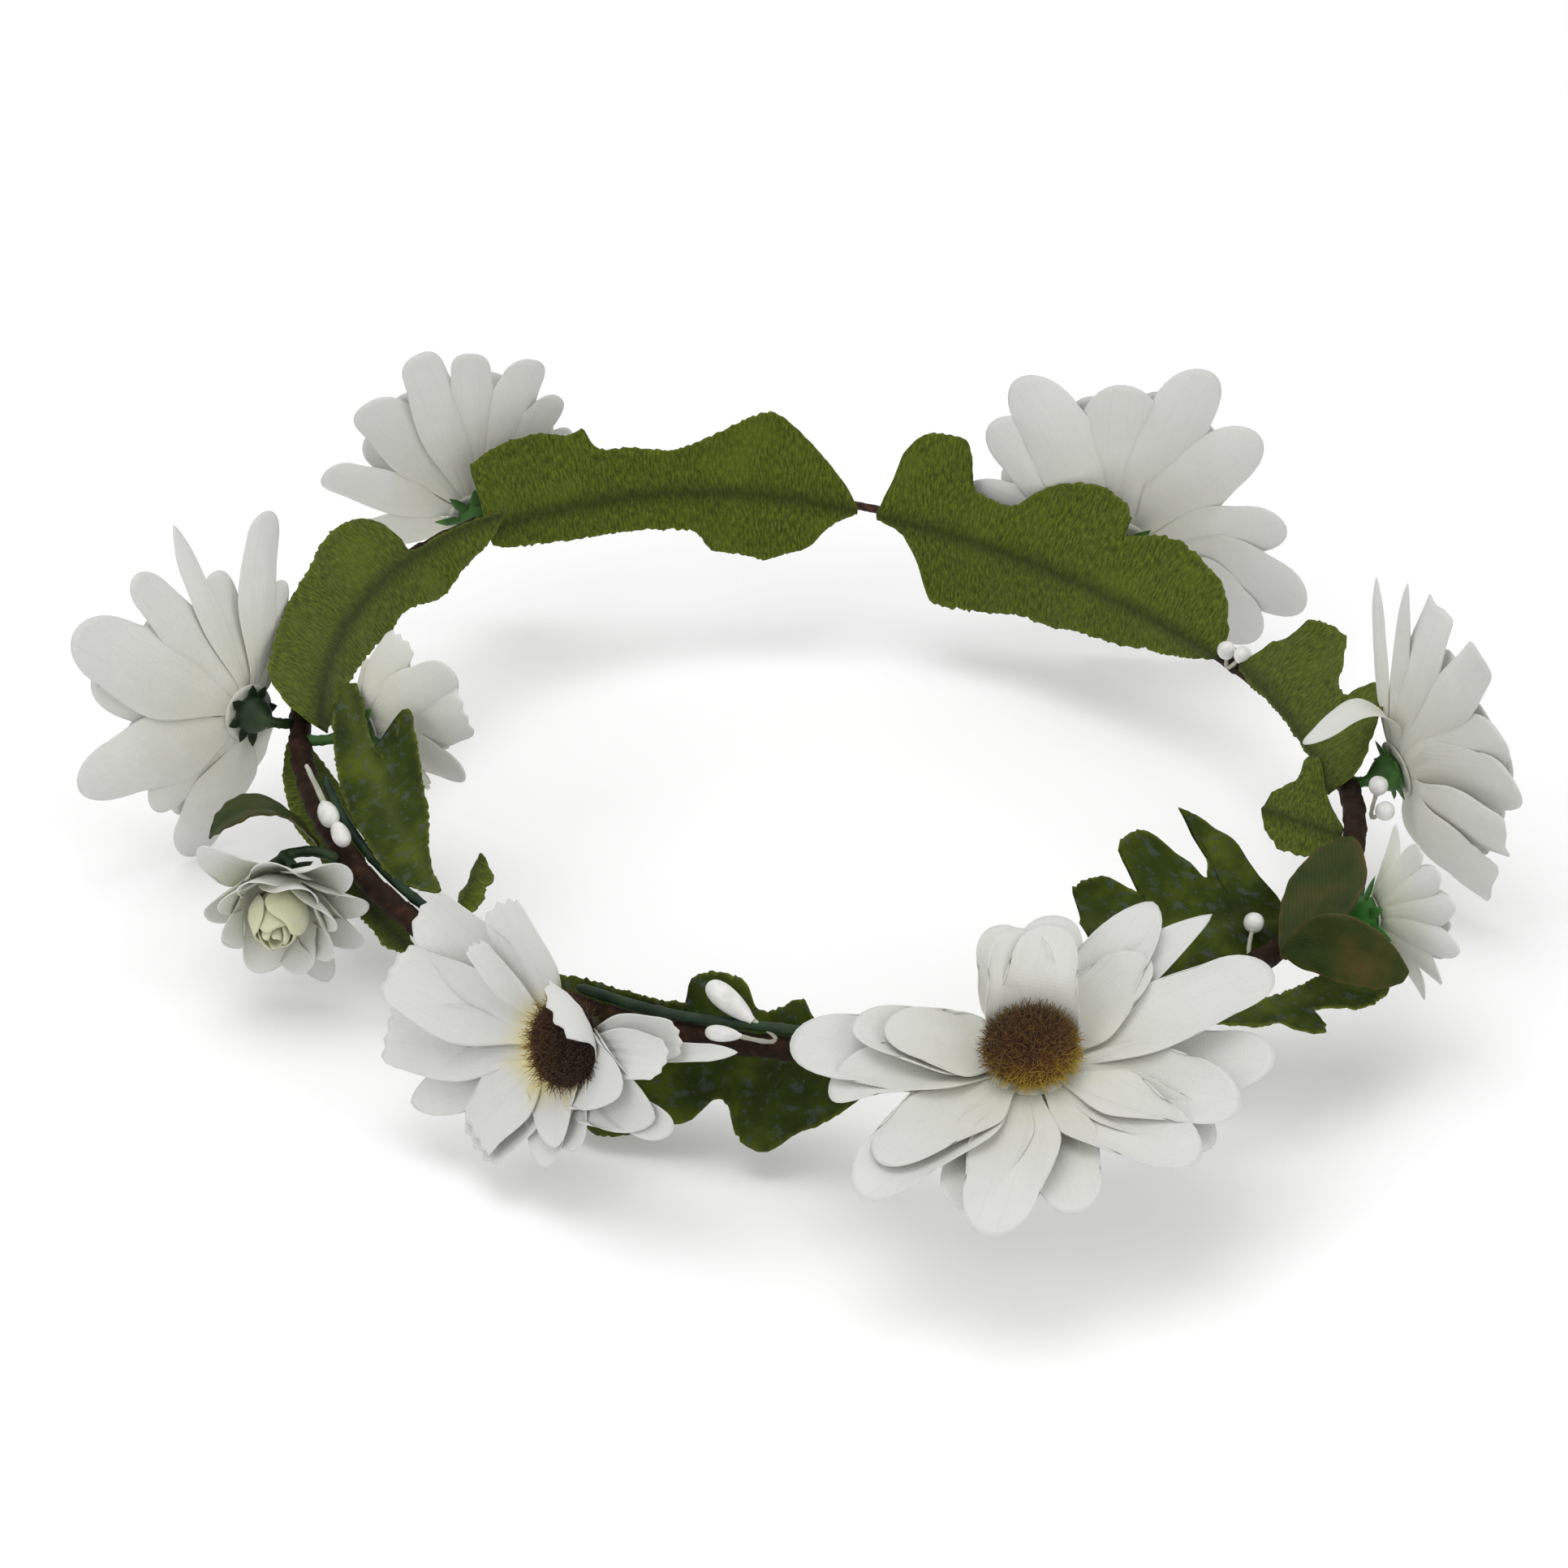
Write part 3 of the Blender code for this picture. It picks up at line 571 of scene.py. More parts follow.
FLOWERS = {
    "daisy_front_right": {
        "at": (-73, 14, 4), "faces": (-100, 79), "throat": 7.8, "core": (7.2, 6.5), "tip": "round",
        "cup": 0.55, "gold": (-50, 1.1), "heart": 1.06,
        "layers": [
            [(183, 37, 17, 2), (235, 37, 16, 2), (257, 31, 12, 0), (291, 31, 13, 2),
             (338, 31, 12, 0), (7, 37, 15, 2), (53, 40, 10, 16, POINT), (89, 29, 13, 18)],
            [(192, 31, 13, 1), (230, 31, 15, 4), (271, 36, 14, 3), (323, 32.5, 17, 3),
             (352, 33, 16, 4), (26, 40, 13, 13), (61, 35.5, 14, 17, SOFT), (108, 26.5, 12, 19),
             (175, 28, 15, 7)],
            [(176, 23, 14, 11), (53, 26, 12, 18),
             (107, 25, 13, 40, {"slopes": (118, 68, 30, 16), "cup": 0.5, "root": 0.75}),
             (85, 26, 13, 40, {"slopes": (118, 68, 30, 16), "cup": 0.5, "root": 0.75})]]},
    "cosmos_front_left": {
        "at": (-115, 14, 2), "faces": (-134, 23), "throat": 6.6, "core": (6.2, 4.0),
        "tip": "toothed", "cup": 0.6, "gold": (205, 1.4), "heart": 1.24, "heart_aside": (3.1, 1.9),
        "heart_height": 0.62,
        "layers": [
            [(154, 32, 14, 17), (123, 24.5, 12, 20), (201, 32, 13, 14), (221, 28.5, 11, 12, SOFT),
             (252, 22, 14, 13), (292, 19, 12, 14, SOFT), (315, 17, 12, 12, ROUND),
             (355, 25.5, 15, 12, SOFT), (352, 28, 7.5, 8, ROUND), (20.5, 38, 3.4, 4, POINT),
             (28, 29, 8, 11)],
            [(179, 31.5, 13, 19), (147, 21, 5, 30, {"turn": 30}), (246, 20.5, 12, 17),
             (302, 16, 12, 19, SOFT), (357, 21, 14, 24, {**SOFT, "cup": 0.9, "turn": -25}),
             (20, 30, 8, 15, {"turn": -20}),
             (58, 18, 15, 40, {"slopes": (25, 42, 98, 150), "root": 0.5})]]},
    "rosette_left": {
        "at": (-157, 12, -1.5), "faces": (-92, -22), "throat": 3.6, "core": (4.6, 8.5),
        "tip": "round", "cup": 1.0, "root": 0.40, "heart": 1.2,
        "layers": [
            [(134, 18, 9, 14), (185, 14, 11, 30), (225, 15, 11, 30), (260, 18, 11, 26, SOFT),
             (293, 20, 12, 26, SOFT), (328, 17, 11, 28), (8, 16, 11, 24), (42, 18, 12, 20),
             (88, 15, 12, 30)],
            [(150, 14, 10, 46), (203, 14, 10, 58), (248, 16, 10, 60), (290, 16, 10, 60),
             (330, 16, 11, 54), (14, 15, 11, 50), (60, 15, 12, 44), (105, 14, 12, 42)]]},
    "daisy_left": {
        "at": (176, 9, 2), "faces": (135, -4), "throat": 5.6, "core": (5.2, 4.5), "tip": "round",
        "cup": 0.5,
        "layers": [
            [(37, 35, 15, 25), (69, 32, 9, 25), (85, 35, 5, 25, POINT), (122, 36, 10, 26),
             (141, 27, 8, 32), (347, 32, 15, 25), (318, 24, 11, 28), (284, 32, 13, 24),
             (250, 20, 11, 36)],
            [(24, 28, 13, 31), (55, 24, 11, 31), (100, 25, 11, 31), (355, 21, 12, 33),
             (328, 20, 11, 35), (300, 24, 11, 31)]]},
    "daisy_back_left": {
        "at": (128, 9, -2), "faces": (108, 19), "throat": 5.4, "core": (5.0, 4.5), "tip": "blunt",
        "cup": 0.5,
        "layers": [
            [(13, 29, 10, 22), (53, 31, 12, 22), (74, 35, 10, 22), (92, 33, 9, 22),
             (113, 32, 11, 22), (135, 27, 10, 24), (160, 24, 10, 26), (335, 25, 9, 18),
             (200, 22, 11, 30), (240, 20, 11, 32)],
            [(35, 25, 11, 30), (62, 27, 11, 30), (102, 27, 11, 30), (146, 22, 10, 32),
             (180, 18, 10, 38)]]},
    "daisy_inner_left": {
        "at": (179, -11.5, 3), "faces": (34, 7), "throat": 4.4, "core": (3.6, 3.0),
        "tip": "toothed", "cup": 0.5,
        "layers": [
            [(140, 25, 10, 28, ROUND), (160, 25, 12, 28), (195, 21, 10, 28, ROUND),
             (100, 19, 10, 30), (235, 16, 10, 32), (280, 12, 9, 38), (60, 12, 9, 38)],
            [(150, 18, 10, 38), (178, 17, 10, 38), (118, 15, 9, 40), (215, 14, 9, 42)]]},
    "daisy_back_right": {
        "at": (53, 9, 4), "faces": (83, 14), "throat": 6.0, "core": (5.6, 5.0), "tip": "round",
        "cup": 0.45,
        "layers": [
            [(5, 32, 14, 19), (40, 33, 14, 19), (60, 37, 15, 19), (87, 32, 20, 19),
             (111, 38, 15, 19), (138, 33, 16, 19), (180, 31, 14, 15), (204, 38, 17, 8),
             (224, 36, 18, 6), (262, 22, 13, 16), (300, 20, 12, 22), (335, 24, 12, 22)],
            [(22, 26, 12, 26), (72, 29, 13, 26), (100, 30, 13, 26), (126, 28, 12, 26),
             (196, 27, 12, 22), (218, 28, 12, 18)]]},
    "daisy_right": {
        "at": (-3, 8.5, 3), "faces": (22, 12), "throat": 5.6, "core": (5.2, 4.5), "tip": "blunt",
        "cup": 0.5,
        "layers": [
            [(64, 33, 5, 14, POINT), (82, 34, 6, 16, POINT), (97, 33, 10, 20, SQUARE),
             (122, 36, 10, 20),
             (92, 29, 7, -40, {"tip": "soft", "slopes": (12, -45, -105, -92), "cup": 0.3}),
             (145, 28, 13, 26), (166, 28, 14, 25),
             (190, 27, 14, 22, {"tip": "square", "slopes": (-12, 26, 30)}),
             (214, 28, 15, 20, {"tip": "square", "slopes": (-30, 22, 34), "root": 0.45}),
             (246, 22, 13, 26, {"slopes": (-30, 20, 40), "root": 0.45})],
            [(108, 26, 11, 28), (136, 25, 12, 32), (158, 25, 12, 32), (184, 22, 12, 30),
             (220, 21, 12, 28)]]},
    "rosette_right": {
        "at": (-31, 9.5, 2), "faces": (10, 3), "throat": 3.6, "core": (4.4, 8.0), "tip": "soft",
        "cup": 1.1, "root": 0.36,
        "layers": [
            [(60, 15, 8, 26), (100, 16, 9, 30), (125, 18, 9, 32), (150, 19, 9, 34),
             (176, 19, 9, 34), (202, 17, 9, 32), (236, 16, 9, 30), (275, 13, 8, 30),
             (320, 12, 8, 32), (15, 12, 8, 30)],
            [(85, 13, 8, 46), (113, 14, 8, 48), (140, 15, 8, 48), (166, 15, 8, 48),
             (192, 14, 8, 46), (225, 13, 8, 46), (262, 11, 8, 46)]]},
}
LAYER_SHRINK = 0.4
LAYER_NAMES = {2: ("outer", "inner"), 3: ("outer", "middle", "inner")}


class Flower:
    """Where a flower stands, the way it faces, and places measured from its middle."""

    def __init__(self, name, design):
        self.name, self.design = name, design
        self.foot = on_ring(*design["at"])
        angle, rise = map(math.radians, design["faces"])
        self.facing = Vector((math.cos(angle) * math.cos(rise), math.sin(angle) * math.cos(rise),
                              math.sin(rise)))
        self.side = Vector((0, 0, 1)).cross(self.facing).normalized()
        self.top = self.facing.cross(self.side)

    def radial(self, angle):
        turn = math.radians(angle)
        return self.side * math.cos(turn) + self.top * math.sin(turn)

    def spot(self, angle, radius, height):
        return self.foot + self.radial(angle) * radius + self.facing * height

    def throat(self, number):
        """Where the petals of a layer begin to lift; inner layers are cut a little smaller."""
        return self.design["throat"] - LAYER_SHRINK * number


flowers = {name: Flower(name, design) for name, design in FLOWERS.items()}
print(len(flowers), "flowers,", sum(len(petals) for design in FLOWERS.values()
                                    for petals in design["layers"]), "petals")

# %% [markdown]
# ## A pressed petal
#
# A petal could be a flat shape bent with a modifier, but a press does more than bend: it cups the
# petal across, draws creases from root to tip, and leaves the tip a little wavy. So the petal is
# written as a grid. One direction runs from root to tip along a slope that can change, the other
# runs across. The outline comes from how far each lengthwise line reaches, so a round, toothed,
# square or pointed tip is one small rule.

# %% A petal
# tip: how deep its rounding is (in widths), how square it is, number of teeth, their depth in mm
TIPS = {"round": (0.62, 2.0, 0, 0.0), "blunt": (0.46, 2.2, 0, 0.0), "soft": (0.95, 1.65, 0, 0.0),
        "point": (1.6, 1.3, 0, 0.0), "toothed": (0.30, 2.4, 4, 1.1), "square": (0.14, 4.0, 2, 0.6)}
PETAL_CLOTH = 0.17
CLOTH_PITCH = 0.6  # from one layer to the next, when pressed together on the stalk
PETAL_START = LAYER_HOLE + 0.8
HUB_EDGE, HUB_DROP = 0.6, 0.34  # the hub ends this far short of the throat, and lies lower
ROOT_SHARE = 0.24  # of the petal's width, at its root
WIDEST = 0.60
SHINGLE = 4.0  # how far one side of a petal is raised over its neighbour, in degrees
ROWS, SLOPE_STEPS = 22, 60


NO_BEND = {}


def reach_of(t, length, width, tip, dice):
    """How far from the flower's middle the lengthwise line at t (-1 to 1) reaches."""
    depth, square, teeth, bite = TIPS[tip]
    rounding = 1 - (1 - min(1, abs(t)) ** square) ** (1 / square)
    reach = length - min(depth * width, 0.5 * length) * rounding - dice["slant"] * t * width
    if teeth:
        place = (t * 0.5 + 0.5) * teeth + dice["phase"]
        notch = abs(place - math.floor(place) - 0.5) * 2
        deep = 0.5 + 0.5 * noise.noise(Vector((math.floor(place) * 7.3, dice["phase"] * 9, 1)))
        reach -= bite * (1 - notch) ** 0.8 * (0.25 + 0.9 * deep)
    return reach


def petal(cloth, flower, number, angle, length, width, lift, extra=NO_BEND):
    """Adds one petal to a layer's cloth and returns its flat area."""
    design = flower.design
    chance = random.Random(f"{flower.name} {number} {angle}")
    dice = {"slant": chance.uniform(-0.07, 0.07), "phase": chance.random()}
    tip = extra.get("tip", design["tip"])
    throat = flower.throat(number)
    base = CLOTH_PITCH * number + chance.uniform(-0.1, 0.1)
    start, bow = PETAL_START, chance.uniform(-5, 8)
    slopes = (lift - bow, lift + 0.3 * bow, lift + bow + chance.uniform(-12, 6))
    slopes = extra.get("slopes", slopes)
    sweep = chance.uniform(-4, 4)
    turn = extra.get("turn", chance.uniform(-10, 10))
    root = extra.get("root", design.get("root", ROOT_SHARE))
    cup = extra.get("cup", design["cup"]) * chance.uniform(0.7, 1.25)
    ripple, ripple_at = chance.uniform(0.15, 0.45), chance.uniform(0, 6)
    grooves = [chance.uniform(-0.08, 0.08)] + [s * chance.uniform(0.38, 0.6) for s in (-1, 1)]

    step = (length - start) / SLOPE_STEPS
    line = [(start, base, 0.0)]
    for k in range(SLOPE_STEPS):
        radius, height, _ = line[-1]
        gone = start + step * (k + 0.5)
        bent = rounded((gone - throat + 1.2) / 2.4)
        slope = math.radians(bent * along_list(slopes, (gone - throat) / (length - throat)))
        line.append((radius + step * math.cos(slope), height + step * math.sin(slope), slope))

    teeth = TIPS[tip][2]
    across_count = 26 if teeth else 16
    rows, places, area = [], [], 0.0
    for k in range(ROWS + 1):
        u = (k / ROWS) ** 0.9
        half = width / 2 * (root + (1 - root) * rounded(u / WIDEST))
        half *= 1 - 0.16 * rounded((u - 0.66) / 0.34)
        row, flat = [], []
        for j in range(across_count + 1):
            t = 2 * j / across_count - 1
            t = t if teeth else math.sin(t * math.pi / 2)
            gone = start + (reach_of(t, length, width, tip, dice) - start) * u
            place = (gone - start) / step
            n = min(int(place), SLOPE_STEPS - 1)
            radius, height, slope = (a + (b - a) * (place - n) for a, b in zip(*line[n:n + 2]))
            far = (gone - start) / (length - start)
            radial = flower.radial(angle + sweep * far * far)
            forward = radial * math.cos(slope) + flower.facing * math.sin(slope)
            rise = flower.facing * math.cos(slope) - radial * math.sin(slope)
            wide = rise.cross(forward)
            tilt = math.radians(SHINGLE * (1 - 0.5 * far) + turn * far * far)
            wide, rise = (wide * math.cos(tilt) + rise * math.sin(tilt),
                          rise * math.cos(tilt) - wide * math.sin(tilt))
            bowl = cup * (0.5 + 0.5 * rounded(far * 1.6))
            out = half * math.sin(bowl * t) / bowl
            up = half * (1 - math.cos(bowl * t)) / bowl
            for g, groove in enumerate(grooves):
                crease = math.exp(-((t - groove) / (0.10 if g else 0.13)) ** 2)
                up -= crease * (0.10 if g else 0.16) * rounded(far * 3) * (1.15 - far)
            up += 0.03 * math.sin(t * 15 + ripple_at) * rounded(far * 2) * (1.2 - far)
            up += ripple * math.sin(3.2 * t + ripple_at + far * 5) * far * far * t * t
            row.append(flower.foot + radial * radius + flower.facing * height
                       + wide * out + rise * up)
            flat.append((t * half, gone))
        rows.append(row)
        places.append(flat)
        if k:
            area += (flat[-1][0] - flat[0][0]) * (flat[len(flat) // 2][1]
                                                  - places[-2][len(flat) // 2][1])
    cloth.patch(rows, places)
    return area * (1 - TIPS[tip][0] * 0.21 * width / length)


def petal_layer(flower, number, look):
    """One layer: its petals and the small ring of cloth that holds their roots."""
    design = flower.design
    cloth = Sheet()
    area = sum(petal(cloth, flower, number, *one) for one in design["layers"][number])
    throat = flower.throat(number)
    rings = [LAYER_HOLE + (throat - HUB_EDGE - LAYER_HOLE) * k / 3 for k in range(4)]
    around = [360 * k / 36 for k in range(36)]
    base = CLOTH_PITCH * number - HUB_DROP
    cloth.patch([[flower.spot(a, radius, base) for a in around] for radius in rings],
                [[(radius * wave(a, 0), radius * wave(a, 90)) for a in around]
                 for radius in rings], closed=True)
    area += math.pi * (rings[-1] ** 2 - LAYER_HOLE ** 2)
    names = LAYER_NAMES[len(design["layers"])]
    node = f"{flower.name}_petals_{names[number]}"
    made = cloth.piece(node + "_cloth", [look], PETAL_CLOTH)
    stands_for(made, node)
    side = 2 * MM * max(p[1] for p in design["layers"][number]) * 0.9
    share = min(0.98, max(0.32, area * MM * MM / side ** 2))
    share * side ** 2
    return made


for flower in flowers.values():
    special = {"rosette": rosette_cloth, "cosmos": cosmos_cloth}
    look = special.get(flower.name.split("_")[0], white_cloth)
    for number in range(len(flower.design["layers"])):
        petal_layer(flower, number, look)
print(len(PIECES), "layers of petals")

# %% [markdown]
# ## Flocked hearts
#
# The brown heart of a daisy is a foam dome rolled in glue and blown with short fibres, so that
# they stand on end. Drawing the fibres in a bump would look flat at the rim, where they show
# against the petals. Instead a recipe scatters points over a dome, plants a bent fibre on each
# and gives it its own shade: dark on top, gold near the foot on one side.

# %% A recipe for flock
def flock_recipe():
    make = Recipe("flocked dome", Density=float, Length=float, Thickness=float, Seed=int,
                  Foot=Vector, Facing=Vector, Height=float, Gold_Side=Vector,
                  Look=bpy.types.Material)
    vector = lambda operation, *sockets, out=0: make.add(
        "ShaderNodeVectorMath", {"operation": operation}, dict(enumerate(sockets)), out)
    dome, length = make.given("Geometry"), make.given("Length")
    fibre = make.add("GeometryNodeMeshCone", None,
                     {"Vertices": 3, "Side Segments": 3, "Depth": length,
                      "Radius Top": make.given("Thickness") * 0.3,
                      "Radius Bottom": make.given("Thickness")})
    place = make.add("GeometryNodeInputPosition")
    share = make.maths("DIVIDE", make.part_of(place, 2), length)
    lean = make.add("ShaderNodeCombineXYZ", None, {0: share * share * length * 0.45})
    fibre = make.add("GeometryNodeSetPosition", None, {"Geometry": fibre, "Offset": lean})
    fibre = make.store(fibre, "tip", share)

    from_foot = vector("SUBTRACT", place, make.given("Foot"))
    rise = vector("DOT_PRODUCT", from_foot, make.given("Facing"), out=1)
    low = 1 - make.maths("DIVIDE", rise, make.given("Height"))
    flat = vector("NORMALIZE", vector("CROSS_PRODUCT", make.given("Facing"), vector(
        "CROSS_PRODUCT", from_foot, make.given("Facing"))))
    lit = vector("DOT_PRODUCT", flat, make.given("Gold Side"), out=1)
    chance = make.chance(-0.16, 0.16, make.given("Seed"))
    shade = make.maths("POWER", make.maths("MAXIMUM", low, 0.0), 1.3)
    shade = shade * (0.62 + lit * 0.6) + chance
    dome = make.store(dome, "shade", shade * 0.4)
    scatter = make.add("GeometryNodeDistributePointsOnFaces", {"distribute_method": "RANDOM"},
                       {"Mesh": dome, "Density": make.given("Density"), "Seed": make.given("Seed")})
    normal = Value(make, scatter.socket.node.outputs["Normal"])
    points = make.store(scatter, "shade", shade)
    stray = make.chance((-0.75,) * 3, (0.75,) * 3, 5, "FLOAT_VECTOR")
    upright = make.add("FunctionNodeAlignRotationToVector", {"axis": "Z"},
                       {"Vector": vector("ADD", normal, stray)})
    spin = make.chance((0, 0, 0), (0, 0, math.tau), 9, "FLOAT_VECTOR")
    spin = make.add("FunctionNodeEulerToRotation", None, {0: spin})
    turned = make.add("FunctionNodeRotateRotation", {"rotation_space": "LOCAL"},
                      {0: upright, 1: spin})
    size = make.chance(0.55, 1.15, 3)
    planted = make.add("GeometryNodeInstanceOnPoints", None,
                       {"Points": points, "Instance": fibre, "Rotation": turned, "Scale": size})
    planted = make.add("GeometryNodeRealizeInstances", None, {0: planted})
    joined = make.tree.nodes.new("GeometryNodeJoinGeometry")
    for piece in (dome, planted):
        make.link(joined.inputs[0], piece)
    smooth = make.add("GeometryNodeSetShadeSmooth", None, {0: Value(make, joined.outputs[0])})
    make.output(make.add("GeometryNodeSetMaterial", None,
                         {"Geometry": smooth, "Material": make.given("Look")}))
    return make


flock_dome = flock_recipe()
FIBRES = {"Density": 6.5e6, "Length": 1.9 * MM, "Thickness": 0.085 * MM}


def core_sizes(flower):
    design = flower.design
    count = len(design["layers"])
    radius = min(design["core"][0], flower.throat(count - 1) - GAP)
    return radius, design["core"][1], LAYER_PITCH * (count - 1) + PETAL_THICKNESS / 2 + GAP


def flocked_heart(flower, seed):
    radius, height, base = core_sizes(flower)
    scale = flower.design.get("heart", 1.0)
    radius, height = radius * scale - 0.5, height * flower.design.get("heart_height", 1.0) - 0.9
    aside, above = flower.design.get("heart_aside", (0, 0))
    shift = flower.side * aside + flower.top * above
    dome = Sheet()
    steps = [(1.0, -0.06), (1.0, 0.12), (0.99, 0.32), (0.93, 0.55), (0.8, 0.76), (0.58, 0.91),
             (0.3, 0.985), (0.08, 1.0)]
    around = [360 * k / 32 for k in range(32)]
    rows = [[flower.spot(a, radius * wide, base + height * tall) + shift for a in around]
            for wide, tall in steps]
    made = dome.patch(rows, [[(a / 10, tall) for a in around] for _, tall in steps], closed=True)
    dome.shape.faces.new(made[0][::-1])
    dome.shape.faces.new(made[-1])
    bmesh.ops.recalc_face_normals(dome.shape, faces=dome.shape.faces)
    look = dark_flock if "cosmos" in flower.name else brown_flock
    made = dome.piece(flower.name + "_flock", [look])
    angle, strength = flower.design.get("gold", (0, 0.0))
    made = grow(made, flock_dome, Seed=seed, Facing=flower.facing, Look=look,
                Foot=(flower.foot + flower.facing * base + shift) * MM,
                Height=(height + 1) * MM, Gold_Side=flower.radial(angle) * strength, **FIBRES)
    return stands_for(made, flower.name + "_core")


for number, flower in enumerate(flowers.values()):
    if "rosette" not in flower.name:
        heart = flocked_heart(flower, number + 1)
        print(heart.name, len(heart.data.polygons), "faces")

# %% [markdown]
# ## The rosettes' closed hearts
#
# A rosette's middle is a bud: small cupped petals wrapped round one another, each a little
# inside the last and turned by the golden angle, as on a growing shoot.

# %% Buds
BUD_PETALS, GOLDEN_ANGLE, BUD_STEPS, BUD_CLOTH = 9, 137.5, 12, 0.26


def bud_heart(flower):
    base = core_sizes(flower)[2]
    radius, height = [size * flower.design.get("heart", 1.0) for size in flower.design["core"]]
    radius *= 0.92
    cloth = Sheet()
    for k in range(BUD_PETALS):
        middle, size = 40 + GOLDEN_ANGLE * k, 1 - 0.085 * k
        tall = height * (0.86 + 0.02 * k)
        rows, places = [], []
        for a in range(BUD_STEPS + 1):
            row, flat = [], []
            for b in range(BUD_STEPS + 1):
                t = math.sin((2 * b / BUD_STEPS - 1) * math.pi / 2)
                top = 1 - 0.30 * (1 - math.sqrt(max(0.0, 1 - t * t))) - 0.05 * math.sin(3 * t + k)
                rise = a / BUD_STEPS * top
                swell = math.sin(math.pi * (0.16 + 0.66 * rise)) * size
                swell += 0.10 * rounded((rise - 0.75) * 4) * size
                spread = (24 + 50 * rounded(rise * 1.6)) * (1 - 0.25 * rise * rise)
                row.append(flower.spot(middle + t * spread, radius * swell, base + tall * rise))
                flat.append((t * spread / 12, 2 + rise * 9))
            rows.append(row)
            places.append(flat)
        cloth.patch(rows, places)
    made = cloth.piece(flower.name + "_heart", [heart_cloth], BUD_CLOTH)
    return stands_for(made, flower.name + "_core")


for flower in flowers.values():
    if "rosette" in flower.name:
        print(bud_heart(flower).name, "made")

# %% [markdown]
# ## Tubes along a path
#
# Stalks, stems and threads are tubes. The rings of a tube must not twist as the path turns, so
# each ring's direction is carried on from the one before it.

# %% A tube from a path
def tube_rows(points, radii, sides, squash=None):
    """Rings round a path. squash = (direction, share) makes them flat that way."""
    rows, across = [], None
    for k, point in enumerate(points):
        ahead = points[min(k + 1, len(points) - 1)] - points[max(k - 1, 0)]
        ahead = ahead.normalized()
        if across is None:
            across = ahead.orthogonal()
            if squash:
                across = squash[0] - ahead * squash[0].dot(ahead)
        across = (across - ahead * across.dot(ahead)).normalized()
        other = ahead.cross(across)
        flat = squash[1] if squash else 1.0
        rows.append([point + (across * math.cos(math.tau * j / sides) * flat
                              + other * math.sin(math.tau * j / sides)) * radii[k]
                     for j in range(sides)])
    return rows


def add_tube(cloth, points, radii, sides=12, squash=None, look=0, **shades):
    rows = tube_rows(points, radii, sides, squash)
    run = [0.0]
    for a, b in zip(points, points[1:]):
        run.append(run[-1] + (b - a).length)
    places = [[(j * 2.0, along) for j in range(sides)] for along in run]
    tables = {name: [[value] * sides for value in values] for name, values in shades.items()}
    made = cloth.patch(rows, places, closed=True, look=look, **tables)
    for ring in (made[0][::-1], made[-1]):
        face = cloth.shape.faces.new(ring)
        face.material_index = look
    return made


# %% [markdown]
# ## Calyxes and stalks
#
# Under each flower sits a moulded green cup with a ring of pointed sepals. Its stalk bends down
# to the ring, where the tape holds it. The cup and the stalk are one tube whose width changes,
# and a sepal is a tube pressed flat.

# %% Calyxes
SEPAL_COUNT = 8
SHORT_SEPALS = ("daisy_left", "daisy_right")
SEPALS = {"daisy_left": dark_sepal, "rosette_left": dark_sepal, "rosette_right": bright_sepal,
          "cosmos_front_left": dark_sepal}


def calyx(flower):
    cup_depth, cup_radius, stalk_radius = 5.0, 3.6, 0.9
    top = -PETAL_THICKNESS / 2 - GAP
    foot = flower.foot + flower.facing * (top - cup_depth)
    ring = on_ring(flower.design["at"][0])
    towards = (foot - ring).normalized()
    start = ring + towards * (TAPE_RADIUS - 0.1)
    pull = (start + foot) / 2 - flower.facing * (foot - start).length * 0.15
    stalk = bend(start, pull, foot, 10)[:-1]
    shares = [k / 9 for k in range(10)]
    cup = [foot + flower.facing * cup_depth * s for s in shares]
    widths = [0.30 + 0.62 * math.sin(s * math.pi * 0.62) ** 1.3 for s in shares]
    radii = [stalk_radius * (1 + 0.1 * math.sin(2.3 * k)) for k in range(len(stalk))]
    radii += [cup_radius * w for w in widths]
    cloth = Sheet()
    add_tube(cloth, stalk + cup, radii, 16)
    lift = sum(p[3] for p in flower.design["layers"][0]) / len(flower.design["layers"][0])
    chance = random.Random(flower.name)
    for k in range(SEPAL_COUNT):
        angle = 360 * k / SEPAL_COUNT + chance.uniform(-8, 8)
        long = chance.uniform(4.2, 5.6) * (0.6 if flower.name in SHORT_SEPALS else 1.0)
        slope = math.radians(lift - 8 + chance.uniform(-9, 4))
        points, widths = [], []
        for s in (0, 0.12, 0.25, 0.4, 0.55, 0.7, 0.84, 0.94, 1.0):
            out, up = cup_radius * 0.72 + long * s, top - 1.2 + 0.55 * rounded(s * 3)
            beyond = max(0.0, out - flower.design["throat"])
            points.append(flower.spot(angle, out - beyond * (1 - math.cos(slope)),
                                      up + beyond * math.sin(slope) - 0.25 * s))
            widths.append(max(0.08, 1.05 * math.sin(math.pi * (0.22 + 0.78 * s)) ** 0.9))
        add_tube(cloth, points, widths, 10, squash=(flower.facing, 0.22))
    made = cloth.piece(flower.name + "_green", [SEPALS.get(flower.name, sepal_green)])
    return stands_for(made, flower.name + "_calyx")


for flower in flowers.values():
    calyx(flower)
print(len(flowers), "calyxes made")

# %% [markdown]
# ## Leaves cut from printed cloth
#
# A lobed leaf is cut with a die, wired down the middle and bent along the ring. Here the cut is
# given flat: how far down the midrib and how far out each corner of the outline lies, on both
# sides. The outline is rounded between its corners and roughened a little, since the cloth
# frays. Then the flat cut is laid on the bent surface between midrib and edge, folded slightly
# at the midrib and waved towards its edges, and given its two printed faces.

